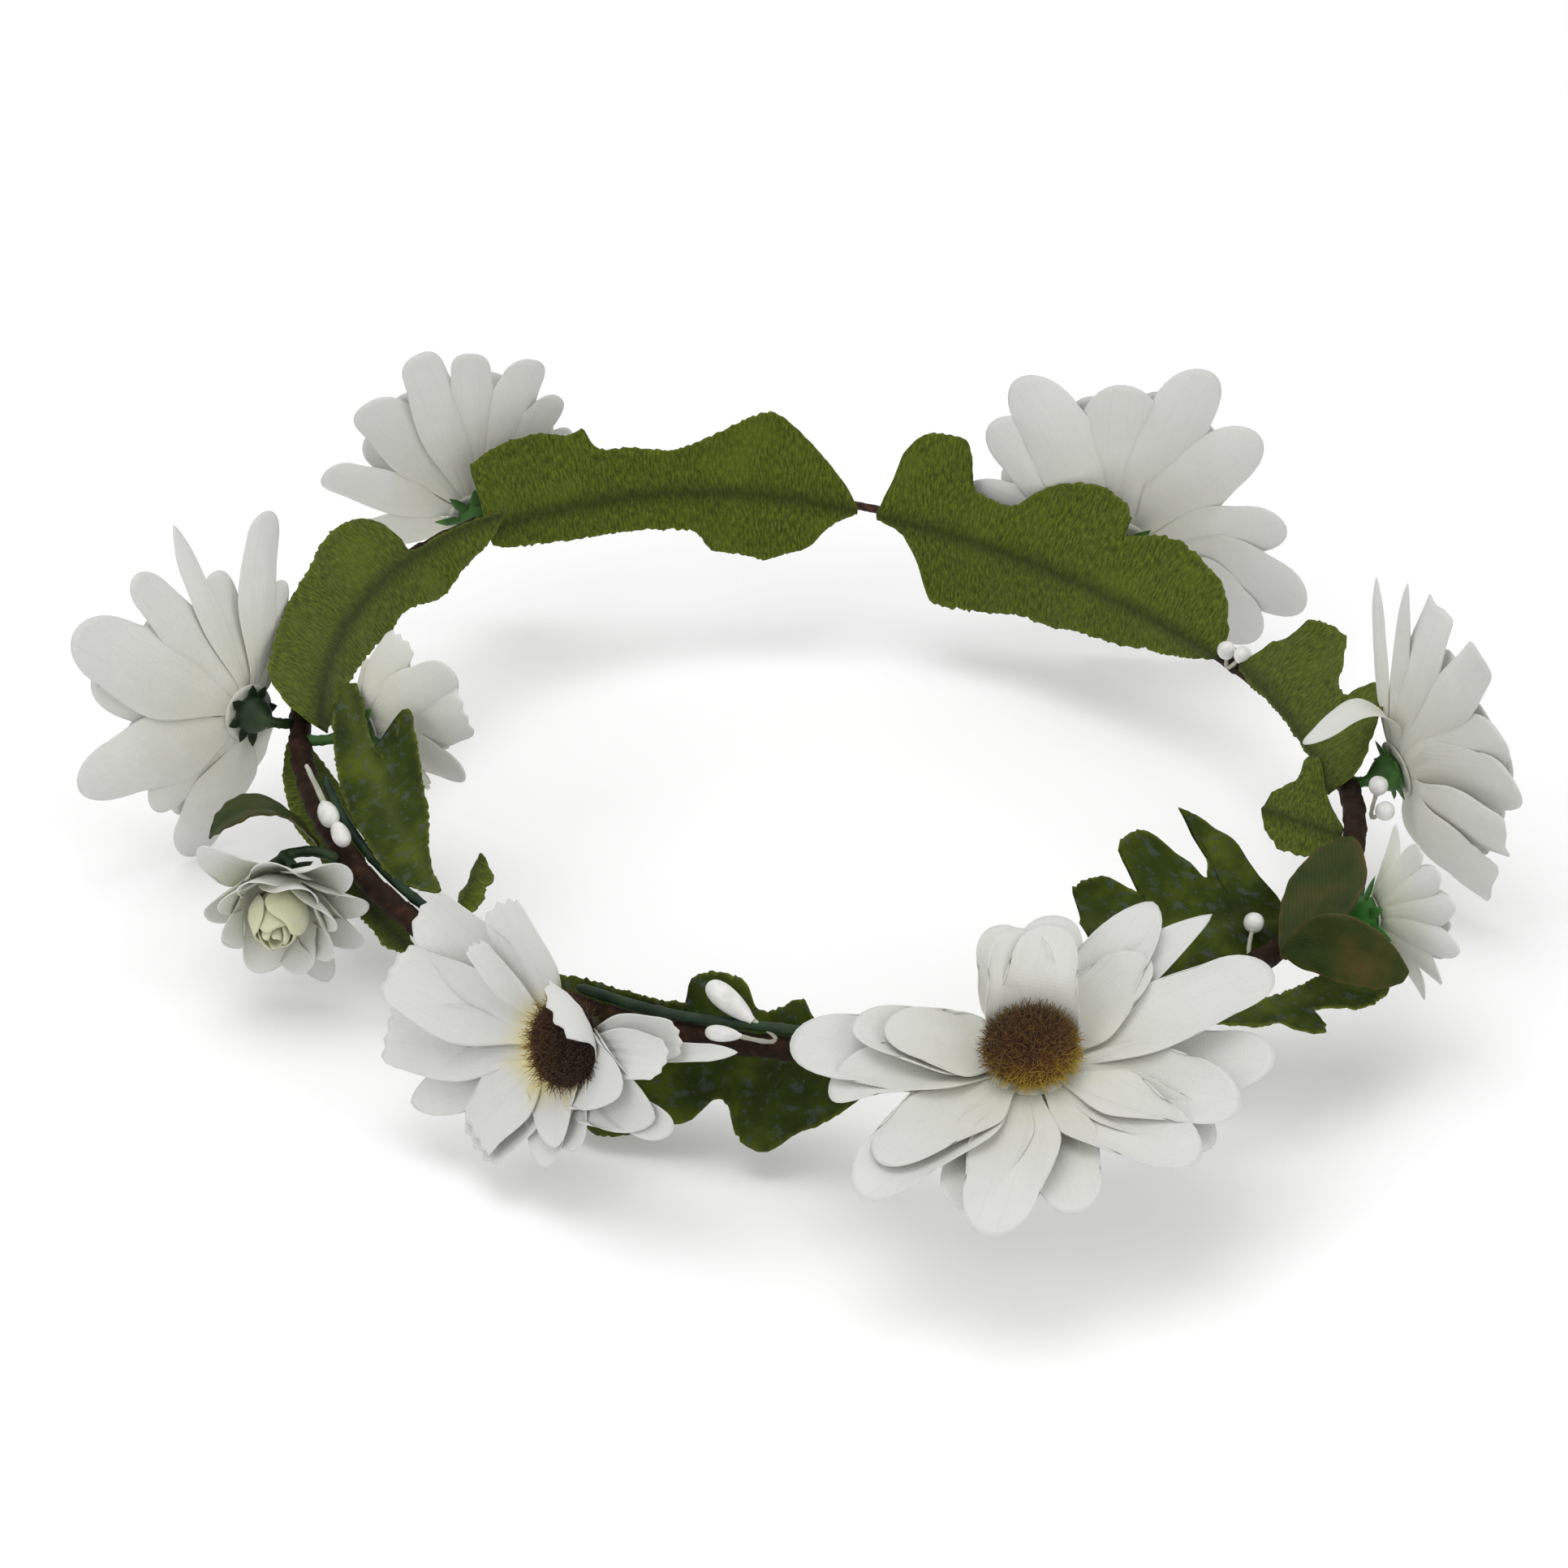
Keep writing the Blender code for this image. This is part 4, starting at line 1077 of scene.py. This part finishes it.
# %% Leaf tables
# midrib: places of base, middle and tip; across: the leaf's side direction (out, along, up);
# felt: the way its felt side faces (out, along, up); one, other: corners (down, out) in mm
LEAVES = {
    "leaf_back_left": {
        "midrib": [(85, -4, 1), (108, -5, 2), (131, -4, 1)], "across": (0.35, 0, 0.94),
        "felt": (-1, 0, 0), "fold": 0.05, "end": 71.5,
        "one": [(0, 0.6), (3, 5), (9, 11), (15, 15.5), (19, 14.5), (23, 12.5), (28, 10), (34, 8),
                (42, 9), (48, 9.6), (50, 13.5), (53, 12.8), (59, 14.5), (66, 14), (71, 12.5)],
        "other": [(0, 0.6), (3, 2.5), (6, 5), (9, 8.5), (12, 10), (18, 12.2), (22, 11.5), (28, 11),
                  (31, 8), (33, 7), (45, 6.5), (57, 6), (67, 4.5), (71, 3)]},
    "leaf_back_right": {
        "midrib": [(82.5, -4, 1), (58, -5, 2), (30, -4, 2)], "across": (0.35, 0, 0.94),
        "felt": (-1, 0, 0), "fold": 0.22, "end": 76,
        "one": [(0, 0.6), (2, 6), (4, 12), (7, 16), (10, 17), (14, 17.4), (16.5, 16), (17.5, 12),
                (18.5, 9), (23, 8), (27, 8.5), (30, 11.5), (34, 14.5), (41, 17), (46, 16.4),
                (49, 14), (49.5, 11), (52, 12), (56, 13.6), (61, 14), (65, 12.6), (68, 12),
                (72, 9), (75, 5)],
        "other": [(0, 0.6), (5, 2.5), (8, 6), (10, 11), (12, 14), (17, 13.8), (23, 13), (31, 11),
                  (39, 10.6), (46, 9), (54, 8), (61, 6), (68, 4), (74, 1.5)]},
    "leaf_left_upper": {
        "midrib": [(127, -5, 4), (149, -5, 5), (172, -4, 5)], "across": (0.7, 0, 0.7),
        "felt": (-1, 0, 0.8), "fold": 0.16, "end": 82,
        "one": [(4, 0.4), (12, 0.8), (20, 0.8), (27, 0.8), (28, 4), (28.4, 8), (31, 10.8),
                (36, 12), (41, 12), (47, 11), (54, 10.4), (64, 10.2), (75, 10), (79, 8), (81, 5)],
        "other": [(4, 0.4), (8, 3), (12, 5), (18, 6.6), (24, 8.8), (29, 8.6), (34, 7.4), (39, 7),
                  (44, 7.6), (50, 7), (60, 6), (69, 5), (76, 4), (80, 3)]},
    "leaf_left_inner": {
        "midrib": [(-144, -6, 3), (-160, -9, 5), (-178, -9, 8)], "across": (-0.9, 0, 0.4),
        "felt": (0, 0, -1), "fold": 0.10, "end": 53,
        "one": [(0, 0.5), (5, 1), (10, 2.4), (15, 4.4), (19, 5.6), (26, 7), (32, 8.4), (37, 9.2),
                (41, 10), (42, 8.6), (38, 6.6), (34, 3.4), (36, 1.8), (42, 1.6), (48, 2.4),
                (52, 2.2)],
        "other": [(0, 0.5), (6, 4), (12, 5.6), (20, 6), (30, 6.4), (38, 5.4), (46, 3.8), (52, 1.6)]},
    "leaf_left_lower": {
        "midrib": [(-143, 0, -6), (-160, -2, -7), (176, 0, -7)], "across": (1, 0, -0.2),
        "felt": (0, 0, 1), "fold": 0.10, "end": 67,
        "one": [(0, 0.5), (8, 2.2), (16, 2), (24, 2.6), (32, 4), (40, 3.2), (48, 5), (56, 4.6),
                (62, 3), (66, 1)],
        "other": [(0, 0.5), (10, 2.4), (20, 3.6), (30, 3), (40, 4.2), (50, 5), (58, 4), (64, 2),
                  (66, 1)]},
    "leaf_tip_left": {
        "midrib": [(-138.5, -4, 3), (-139.5, -8, 6), (-141.5, -12, 8)], "across": (0, 1, 0.2),
        "felt": (0, 0, 1), "fold": 0.14, "end": 11.8,
        "one": [(0, 1), (3, 3.4), (6, 3), (8, 3.8), (10, 2.6), (11.4, 0.8)],
        "other": [(0, 1), (3, 2.2), (6, 2), (9, 1.6), (11.4, 0.8)]},
    "leaf_front": {
        "midrib": [(-82, -5, -4), (-105, -5, -4), (-128, -5, -4)], "across": (-0.5, 0, 0.87),
        "felt": (-1, 0, -0.6), "fold": 0.08, "end": 62,
        "one": [(0, 2.5), (6, 4.6), (11, 4.4), (13, 6), (14.5, 8.4), (17, 7.4), (20, 6), (22, 6.4),
                (24, 10), (28, 11.2), (32, 10.4), (34, 8.6), (33, 6), (38, 5.2), (47, 5),
                (55, 4.6), (60, 3.4)],
        "other": [(0, 2), (5, 6), (11, 10.6), (15, 12.6), (18, 15), (20.5, 16), (24, 13.4),
                  (25.5, 9.4), (28, 9), (31, 12.6), (35, 14.2), (42, 17.6), (46, 17.8), (50, 15),
                  (55, 11), (60, 6)]},
    "leaf_right_front": {
        "midrib": [(-36, -4, 1), (-47, -14, 3), (-58, -24, 4)], "across": (-0.7, 0, 0.7),
        "felt": (0, 0, -1), "fold": 0.10, "end": 33.5,
        "one": [(-2, 2), (-1, 9), (-0.6, 14), (1.6, 18), (5.8, 21), (5.2, 17.4), (5.4, 13),
                (8, 8.4), (10.2, 12), (14, 16.8), (18, 16), (20.8, 13), (19.6, 8.6), (20.4, 5.8),
                (24.8, 8.4), (29, 7.8), (32.6, 5.4), (32, 2.6)],
        "other": [(-2, 1), (2, 4), (8, 8), (14, 11.6), (19, 16.4), (23, 16), (27, 11.6), (31, 9),
                  (33, 5.6), (33, 2.4)]},
    "leaf_right_lower": {
        "midrib": [(-52, 4, -3), (-40, 9, -4), (-28, 12, -6)], "across": (1, 0, -0.3),
        "felt": (0, 0, -1), "fold": 0.12, "end": 37.5,
        "one": [(0, 1), (6, 3.6), (9, 4), (11, 7.6), (13, 8.4), (15, 6.6), (16, 3.6), (19, 4),
                (24, 6.4), (29, 6), (33, 4.6), (37, 1)],
        "other": [(0, 0.8), (8, 1.6), (16, 2), (24, 2.4), (32, 2), (37, 0.8)]},
    "leaf_right_upper": {
        "midrib": [(-6, -3.6, 1), (8, -5, 3), (23, -4, 4)], "across": (0.6, 0, 0.75),
        "felt": (-1, 0, 0.8), "fold": 0.10, "end": 42,
        "one": [(-1, 3), (0, 7), (4, 11), (7.5, 15.4), (10.6, 17.2), (14.4, 15.8), (15.6, 12.6),
                (17, 10.6), (20, 10.8), (23, 13.6), (27, 16.6), (32, 15.8), (36.6, 13.6),
                (37.4, 9.6), (40, 6)],
        "other": [(-1, 0.6), (8, 0.7), (16, 0.7), (26, 0.8), (36, 1.4), (41, 1)]},
    "leaf_right_inner": {
        "midrib": [(-14, -3, -1), (-12, -9, -1), (-10, -15, -1)], "across": (0, 1, 0.3),
        "felt": (0, 0, 1), "fold": 0.10, "end": 14.6,
        "one": [(-1, 2), (2, 6), (4, 10), (5, 14), (6.4, 16.6), (8.4, 15.6), (9, 11.4),
                (10.6, 8.6), (13, 5), (14, 2)],
        "other": [(-1, 2), (2, 4.4), (5, 6.4), (8, 7), (11, 6.6), (13, 4.4), (14.4, 1.4)]},
    "oval_leaf_left": {
        "midrib": [(-161, 3, 0), (-163.5, 11, 6), (-163.5, 20, 2)], "across": (0, 0.97, 0.25),
        "felt": (0, 0, -1), "fold": 0.10, "end": 22,
        "one": [(0, 0.6), (3, 3.4), (7, 5.8), (11, 6.5), (15, 6), (19, 3.8), (21.4, 1)]},
    "oval_leaf_right_upper": {
        "midrib": [(-42, 3, 1), (-36, 3.5, 7), (-28, 3, 13)], "across": (1, 0, 0),
        "felt": (-1, 0, -0.2), "fold": 0.12, "end": 25.8,
        "one": [(0, 0.6), (5, 3.6), (10, 5.4), (15, 6), (20, 5), (24, 2.4), (25.4, 0.8)]},
    "oval_leaf_right_lower": {
        "midrib": [(-43, 4, 3), (-40, 13, 5), (-38, 22, 2.5)], "across": (-0.3, 0, 0.95),
        "felt": (-1, 0, 0), "fold": 0.10, "end": 20.8,
        "one": [(0, 0.6), (3, 3.8), (7, 6), (11, 6.6), (15, 6), (18.6, 3.6), (20.4, 0.8)],
        "other": [(0, 0.6), (3, 3.4), (7, 5.2), (11, 5.8), (15, 5.2), (18.6, 3), (20.4, 0.8)]},
}
print(len(LEAVES), "leaves to cut")


# %% The outline of a leaf
def softened(corners, steps=8):
    """A rounded line through the corners."""
    line = [Vector((*c, 0)) for c in corners]
    ends = [2 * line[0] - line[1], *line, 2 * line[-1] - line[-2]]
    found = []
    for a, b, c, d in zip(ends, ends[1:], ends[2:], ends[3:]):
        for k in range(steps):
            t = k / steps
            found.append(0.5 * (2 * b + (c - a) * t + (2 * a - 5 * b + 4 * c - d) * t * t
                                + (3 * b - a - 3 * c + d) * t ** 3))
    return found + [line[-1]]


def cut_edge(corners, end, rows, fray, seed):
    """For each station down the midrib, the point (down, out) where that row meets the edge."""
    line = softened(corners)
    run = [0.0]
    for a, b in zip(line, line[1:]):
        run.append(run[-1] + (b - a).length)
    highest, lowest = line[0].x, []
    forward = []
    for point in line:
        highest = max(highest, point.x)
        forward.append(highest)
    least = line[-1].x
    for point in reversed(line):
        least = min(least, point.x)
        lowest.append(least)
    keys = [0.38 * (a + b) + 0.24 * end * r / run[-1]
            for a, b, r in zip(forward, reversed(lowest), run)]
    first, last = keys[0], keys[-1]
    keys = [(key - first) / (last - first) for key in keys]
    edge, k = [], 0
    for row in range(rows + 1):
        share = row / rows
        while k < len(keys) - 2 and keys[k + 1] < share:
            k += 1
        mix = (share - keys[k]) / max(1e-6, keys[k + 1] - keys[k])
        point = line[k].lerp(line[k + 1], min(1.0, max(0.0, mix)))
        ragged = noise.noise(Vector((point.x * 1.1, point.y * 1.1, seed))) * 0.55
        ragged += noise.noise(Vector((point.x * 3.1, point.y * 3.1, seed))) * 0.65
        edge.append((point.x + ragged * fray * 0.5, max(0.2, point.y + ragged * fray)))
    return edge


# %% The leaf itself
LEAF_CLOTH = 0.36
# On the felt side the fold band carries painted shade.
EDGE_BAND, FOLD_BAND = 0.7, 1.5  # how far the bare edge and the dark fold reach, in mm


def leaf(name, design, looks, fray, gloss=False):
    """looks: the felt side's finish, the printed side's."""
    base, middle, tip = [on_ring(*place) for place in design["midrib"]]
    ways = [way(design["midrib"][k][0], *design["across"]) for k in (0, 2)]
    pull = 2 * middle - (base + tip) / 2
    fine = bend(base, middle, tip, 40)
    length = sum((b - a).length for a, b in zip(fine, fine[1:]))
    felt_way = way(design["midrib"][1][0], *design["felt"])
    seed = len(name) * 1.7 + base.x * 0.01
    rows_count = max(32, int(length * 2.1))
    one = cut_edge(design["one"], design["end"], rows_count, fray, seed)
    other = cut_edge(design.get("other", design["one"]), design["end"], rows_count, fray, seed + 5)
    columns = [1.0, 0.975, 0.93, 0.86, 0.76, 0.63, 0.48, 0.32, 0.18, 0.07]

    def surface(down, out, near_edge):
        t = down / length
        centre = (1 - t) ** 2 * base + 2 * t * (1 - t) * pull + t * t * tip
        ahead = (2 * (1 - t) * (pull - base) + 2 * t * (tip - pull)).normalized()
        mix = min(1, max(0, t))
        across = (ways[0] * (1 - mix) + ways[1] * mix).normalized()
        normal = ahead.cross(across).normalized()
        if normal.dot(felt_way) < 0:
            normal = -normal
        height = -abs(out) * design["fold"] + 0.5 * math.exp(-(out / 1.3) ** 2) * design["fold"] * 4
        height += noise.noise(Vector((down * 0.11, out * 0.13, seed))) * 1.1 * min(1, abs(out) / 6)
        height += noise.noise(Vector((down * 0.42, out * 0.42, seed))) * 0.55 * near_edge ** 2
        if not gloss:
            height += 0.10 * noise.noise(Vector((down * 1.4, out * 1.4, seed)))
        return centre + across * out + normal * height, normal

    grid, places, edges, folds, normals = [], [], [], [], []
    for k in range(rows_count + 1):
        station = design["one"][0][0] * (1 - k / rows_count) + design["end"] * k / rows_count
        row, flat, edge, fold, facing = [], [], [], [], []
        steps = [(share, other[k], -1) for share in columns] + [(0.0, other[k], 1)]
        steps += [(share, one[k], 1) for share in reversed(columns)]
        for share, (down, out), side in steps:
            at = station + (down - station) * share
            off = side * out * share
            point, normal = surface(at, off, share)
            row.append(point)
            facing.append(normal)
            flat.append((off, at))
            ragged = 0.5 + 0.8 * noise.noise(Vector((at * 0.9, off * 0.9, seed + 3)))
            near = min(1.0, max(0.0, 1 - out * (1 - share) / EDGE_BAND)) if share else 0.0
            edge.append(min(1.0, near * ragged * 1.3))
            fold.append(math.exp(-(off / FOLD_BAND) ** 2) * (0.7 + 0.3 * ragged))
        for table, part in zip((grid, places, edges, folds, normals),
                               (row, flat, edge, fold, facing)):
            table.append(part)

    cloth = Sheet("edge", "fold")
    half = LEAF_CLOTH / 2
    faces = []
    for side, look in ((1, 0), (-1, 1)):
        rows = [[p + n * half * side for p, n in zip(row, facing)]
                for row, facing in zip(grid, normals)]
        faces.append(cloth.patch(rows, places, look=look, edge=edges, fold=folds))
    front, back = faces
    around = [(k, 0) for k in range(rows_count)] + [(rows_count, j) for j in range(20)]
    around += [(k, 20) for k in range(rows_count, 0, -1)] + [(0, j) for j in range(20, 0, -1)]
    for (a, b), (c, d) in zip(around, around[1:] + around[:1]):
        face = cloth.shape.faces.new((front[a][b], front[c][d], back[c][d], back[a][b]))
        face.material_index = 0
        for loop, (m, n) in zip(face.loops, ((a, b), (c, d), (c, d), (a, b))):
            loop[cloth.flat].uv = on_cut(*places[m][n])
    bmesh.ops.recalc_face_normals(cloth.shape, faces=cloth.shape.faces)
    area = sum((a[-1][0] - a[0][0] + b[-1][0] - b[0][0]) / 2 * (b[10][1] - a[10][1])
               for a, b in zip(places, places[1:]))
    wide = max(p[1] for p in one) + max(p[1] for p in other)
    long = max(p[0] for p in one) - min(0, design["one"][0][0])
    made = cloth.piece(name + "_cut", looks)
    stands_for(made, name)
    flat = (max(10.5, wide) * MM, long * MM)
    share = min(0.98, max(0.32, area * MM * MM / (flat[0] * flat[1])))
    share * flat[0] * flat[1]
    return made


for name, design in LEAVES.items():
    if name.startswith("oval"):
        leaf(name, design, [oval_green, oval_green], 0.05, gloss=True)
    else:
        leaf(name, design, [felt_side, print_side], 0.55)
print(sum(len(PIECES[name].data.polygons) for name in LEAVES), "faces in the leaves")

# %% [markdown]
# ## The ring: papered wire under wound tape
#
# Florist's tape is crepe paper that is stretched as it is wound, so that it sticks to itself.
# Each turn laps half over the last one and leaves a step that runs round the ring as a screw
# thread. That is a rule, so a recipe makes it: a tube along the ring's path, raised by a
# sawtooth that depends on how far along and how far round each point is.

# %% A recipe for wound tape
def winding_recipe():
    make = Recipe("wound tape", Radius=float, Pitch=float, Lap=float, Crinkle=float, Sides=int,
                  Look=bpy.types.Material)
    run = make.add("GeometryNodeSplineParameter", out="Length")
    path = make.store(make.given("Geometry"), "run", run)
    ring = make.add("GeometryNodeCurvePrimitiveCircle", {"mode": "RADIUS"},
                    {"Resolution": make.given("Sides"), "Radius": make.given("Radius")})
    share = make.add("GeometryNodeSplineParameter", out="Factor")
    ring = make.store(ring, "around", share)
    thin = make.add("GeometryNodeInputRadius")
    tube = make.add("GeometryNodeCurveToMesh", None,
                    {"Curve": path, "Profile Curve": ring, "Scale": thin, "Fill Caps": True})
    along = make.add("GeometryNodeInputNamedAttribute", {"data_type": "FLOAT"}, {0: "run"})
    around = make.add("GeometryNodeInputNamedAttribute", {"data_type": "FLOAT"}, {0: "around"})
    turns = make.maths("DIVIDE", along, make.given("Pitch")) + around
    lap = make.maths("FRACT", turns, 0.0)
    place = make.add("GeometryNodeInputPosition")
    rough = make.add("ShaderNodeTexNoise", None,
                     {"Vector": place, "Scale": 700.0, "Detail": 3.0, "Roughness": 0.6})
    ridge = make.add("ShaderNodeTexNoise", None, {"Vector": place, "Scale": 130.0, "Detail": 1.0})
    lift = (1 - lap) * make.given("Lap") + (rough - 0.5) * make.given("Crinkle")
    lift = lift + (ridge - 0.5) * make.given("Crinkle") * 1.6
    normal = make.add("GeometryNodeInputNormal")
    push = make.add("ShaderNodeVectorMath", {"operation": "SCALE"}, {0: normal, "Scale": lift})
    tube = make.add("GeometryNodeSetPosition", None, {"Geometry": tube, "Offset": push})
    tube = make.store(tube, "lap", lap)
    tube = make.add("GeometryNodeRealizeInstances", None, {0: tube})
    make.output(make.add("GeometryNodeSetMaterial", None,
                         {"Geometry": tube, "Material": make.given("Look")}))
    return make


wound_tape = winding_recipe()


def wound(name, points, taper, closed, look, **sizes):
    data = bpy.data.curves.new(name, "CURVE")
    data.dimensions = "3D"
    spline = data.splines.new("POLY")
    spline.use_cyclic_u = closed
    spline.points.add(len(points) - 1)
    for corner, point, thin in zip(spline.points, points, taper):
        corner.co, corner.radius = (*(point * MM), 1), thin
    return grow(new_object(name, data), wound_tape, Look=look, **sizes)


count = 780
start, step = SPLICE_AT + SPLICE_HALF, (360 - 2 * SPLICE_HALF) / count
points = [on_ring(start + step * k) for k in range(count + 1)]
taper = [0.55 + 0.45 * rounded(min(k, count - k) / 9) for k in range(count + 1)]
tape = wound("ring_tape", points, taper, False, brown_tape, Radius=(TAPE_RADIUS - 0.25) * MM,
             Pitch=6.5 * MM, Lap=0.34 * MM, Crinkle=0.30 * MM, Sides=22)
stands_for(tape, "stem_tape")

count = 620
points = [on_ring(360 * k / count) for k in range(count)]
wire = wound("ring_wire", points, [1.0] * count, True, wire_paper, Radius=(WIRE_RADIUS - 0.08) * MM,
             Pitch=2.4 * MM, Lap=0.10 * MM, Crinkle=0.08 * MM, Sides=10)
stands_for(wire, "core_wire")
print("tape faces:", len(tape.data.polygons), " wire faces:", len(wire.data.polygons))

# %% [markdown]
# ## Green stems along the ring
#
# The leaf sprays come on a moulded stem that is bound along the ring. It has a node here and
# there where a leaf left it, so the tube swells at uneven places and thins to its end.

# %% Stems
def stem(name, first, last, side, seed):
    clear = TAPE_RADIUS + STRAND_RADIUS + GAP - 0.1
    steps = max(24, round(abs(last - first) * 1.6))
    points, radii = [], []
    for k in range(steps + 1):
        share = k / steps
        angle = first + (last - first) * share
        sway = 0.35 * math.sin(share * 9 + seed)
        points.append(on_ring(angle, clear * side[0] + sway * side[1], clear * side[1]
                              - sway * side[0]))
        node = sum(math.exp(-((share - at) / 0.012) ** 2) for at in (0.13, 0.41, 0.66, 0.9))
        end = rounded(min(share, 1 - share) / 0.03)
        radii.append(STRAND_RADIUS * (0.35 + 0.55 * end) * (1 + 0.22 * node))
    cloth = Sheet()
    add_tube(cloth, points, radii, 14)
    return stands_for(cloth.piece(name + "_moulded", [stem_green]), name)


stem("green_strand_left", -172, -132, (-0.9, 0.44), 1)
stem("green_strand_front", -118, -92, (-0.2, 0.98), 4)
print("stems made")

# %% [markdown]
# ## Pearl berries
#
# A berry pick is two lacquered beads on the ends of one stiff thread, folded in the middle and
# bound to the ring. The lacquer runs down a little where the thread goes in, so a bead is a
# turned shape with a small neck, and a long one is a drop.

# %% Berries
def berries(name, beads, tie, sizes=((1.65, 1.0), (1.65, 1.0))):
    """sizes: each bead's radius, and its length as a share of a round bead's."""
    cloth = Sheet()
    tied = on_ring(*tie)
    inner = []
    for bead, (radius, stretch) in zip(beads, sizes):
        reach = radius * stretch
        middle = on_ring(*bead)
        inward = (tied - middle).normalized()
        inner.append(middle + inward * reach * 0.8)
        points, radii = [], []
        for k in range(17):
            turn = math.pi * k / 16
            place = -math.cos(turn)
            swell = math.sin(turn) ** 0.92 * (1 - 0.16 * place * (stretch - 0.7))
            if place > 0.8:
                swell = max(swell, 0.34)
            points.append(middle + inward * reach * place)
            radii.append(max(0.06, radius * swell))
        add_tube(cloth, points, radii, 24)
    thread = bend(inner[0], tied, inner[1], 18)
    add_tube(cloth, thread, [0.36 + 0.04 * math.sin(1.9 * k) for k in range(len(thread))], 10,
             look=1)
    return stands_for(cloth.piece(name + "_pearls", [pearl, thread_look]), name)


thread_look = moulded_green("berry thread", (0.30, 0.31, 0.24), (0.42, 0.42, 0.34), 0.55)
berries("berries_back_right", [(26, -4, 4.5), (23.5, -3, 5)], (26, -3.5, 1))
berries("berries_right", [(-8, 4, 4), (-10, 5, 1)], (-9, 3, -1))
berries("berry_right_front", [(-40, -5, 2.8), (-44, -0.5, -4.3)], (-42.5, -3, 0))
berries("berries_left", [(-160.5, 1.5, 6.2), (-157.6, 1.2, 5)], (-169, 1, 7),
        ((1.7, 1.7), (1.5, 1.9)))
berries("berries_front", [(-100, -2, 6), (-100, 4, 4)], (-95, 0.5, 1.6),
        ((1.85, 2.5), (1.25, 2.3)))
missing = set(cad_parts) - set(PIECES)
print(len(PIECES), "nodes have their pieces; still to do:", sorted(missing) or "none")

# %% [markdown]
# ## Floor and light
#
# The crown lies on a plain pale floor that curves up behind it, so no edge shows. Three broad,
# soft lights and an even pale surround keep the white petals readable without hard shadows.

# %% Floor and light
def floor_finish():
    plain = Finish("pale floor", Specular_IOR_Level=0.1)
    soft = plain.noise(9)
    colour = plain.blend((0.96, 0.96, 0.96), (0.94, 0.94, 0.94), soft)
    return plain.finish(colour, 0.85 + soft * 0.1, plain.bump(soft, 0.0002, 0.1))


FLOOR_GAP = 0.4 * MM
low = cad_box[0].z - FLOOR_GAP
sweep = bmesh.new()
rows = []
for k in range(25):
    turn = math.pi / 2 * rounded(k / 24) if k else 0
    back = 0.9 + 0.5 * math.sin(turn) if k else -1.6
    up = 0.5 * (1 - math.cos(turn)) if k else 0
    rows.append([sweep.verts.new((x, back, low + up)) for x in (-3.0, 3.0)])
rows.append([sweep.verts.new((x, 1.4, low + 3.0)) for x in (-3.0, 3.0)])
for a, b in zip(rows, rows[1:]):
    sweep.faces.new((a[0], a[1], b[1], b[0])).smooth = True
bmesh.ops.recalc_face_normals(sweep, faces=sweep.faces)
backdrop = bpy.data.meshes.new("backdrop")
sweep.to_mesh(backdrop)
sweep.free()
backdrop.materials.append(floor_finish())
backdrop = new_object("backdrop", backdrop)


def soft_light(name, place, size, power, towards=Vector((0, 0, 0))):
    data = bpy.data.lights.new(name, "AREA")
    data.shape, data.size, data.energy = "DISK", size, power
    lamp = new_object(name, data)
    lamp.location = place
    lamp.rotation_euler = (towards - Vector(place)).to_track_quat("-Z", "Y").to_euler()
    return lamp


soft_light("overhead", (-0.2, -0.1, 1.3), 1.0, 5.4)
soft_light("left front", (-0.9, -0.9, 0.8), 0.8, 3.6)
soft_light("right front", (1.0, -0.7, 0.7), 0.8, 3.0)
world = bpy.data.worlds.new("surround")
world.use_nodes = True
surround = world.node_tree.nodes["Background"]
surround.inputs["Color"].default_value = (1, 1, 1, 1)
surround.inputs["Strength"].default_value = 0.74
bpy.context.scene.world = world
bpy.context.scene.view_settings.view_transform = "Standard"
print("stage set")

# %% [markdown]
# ## Sizes, and the end
# The view layer is brought up to date once more. The visual pieces must stay in the imported
# model's box, apart from a small allowance.


bpy.context.view_layer.update()
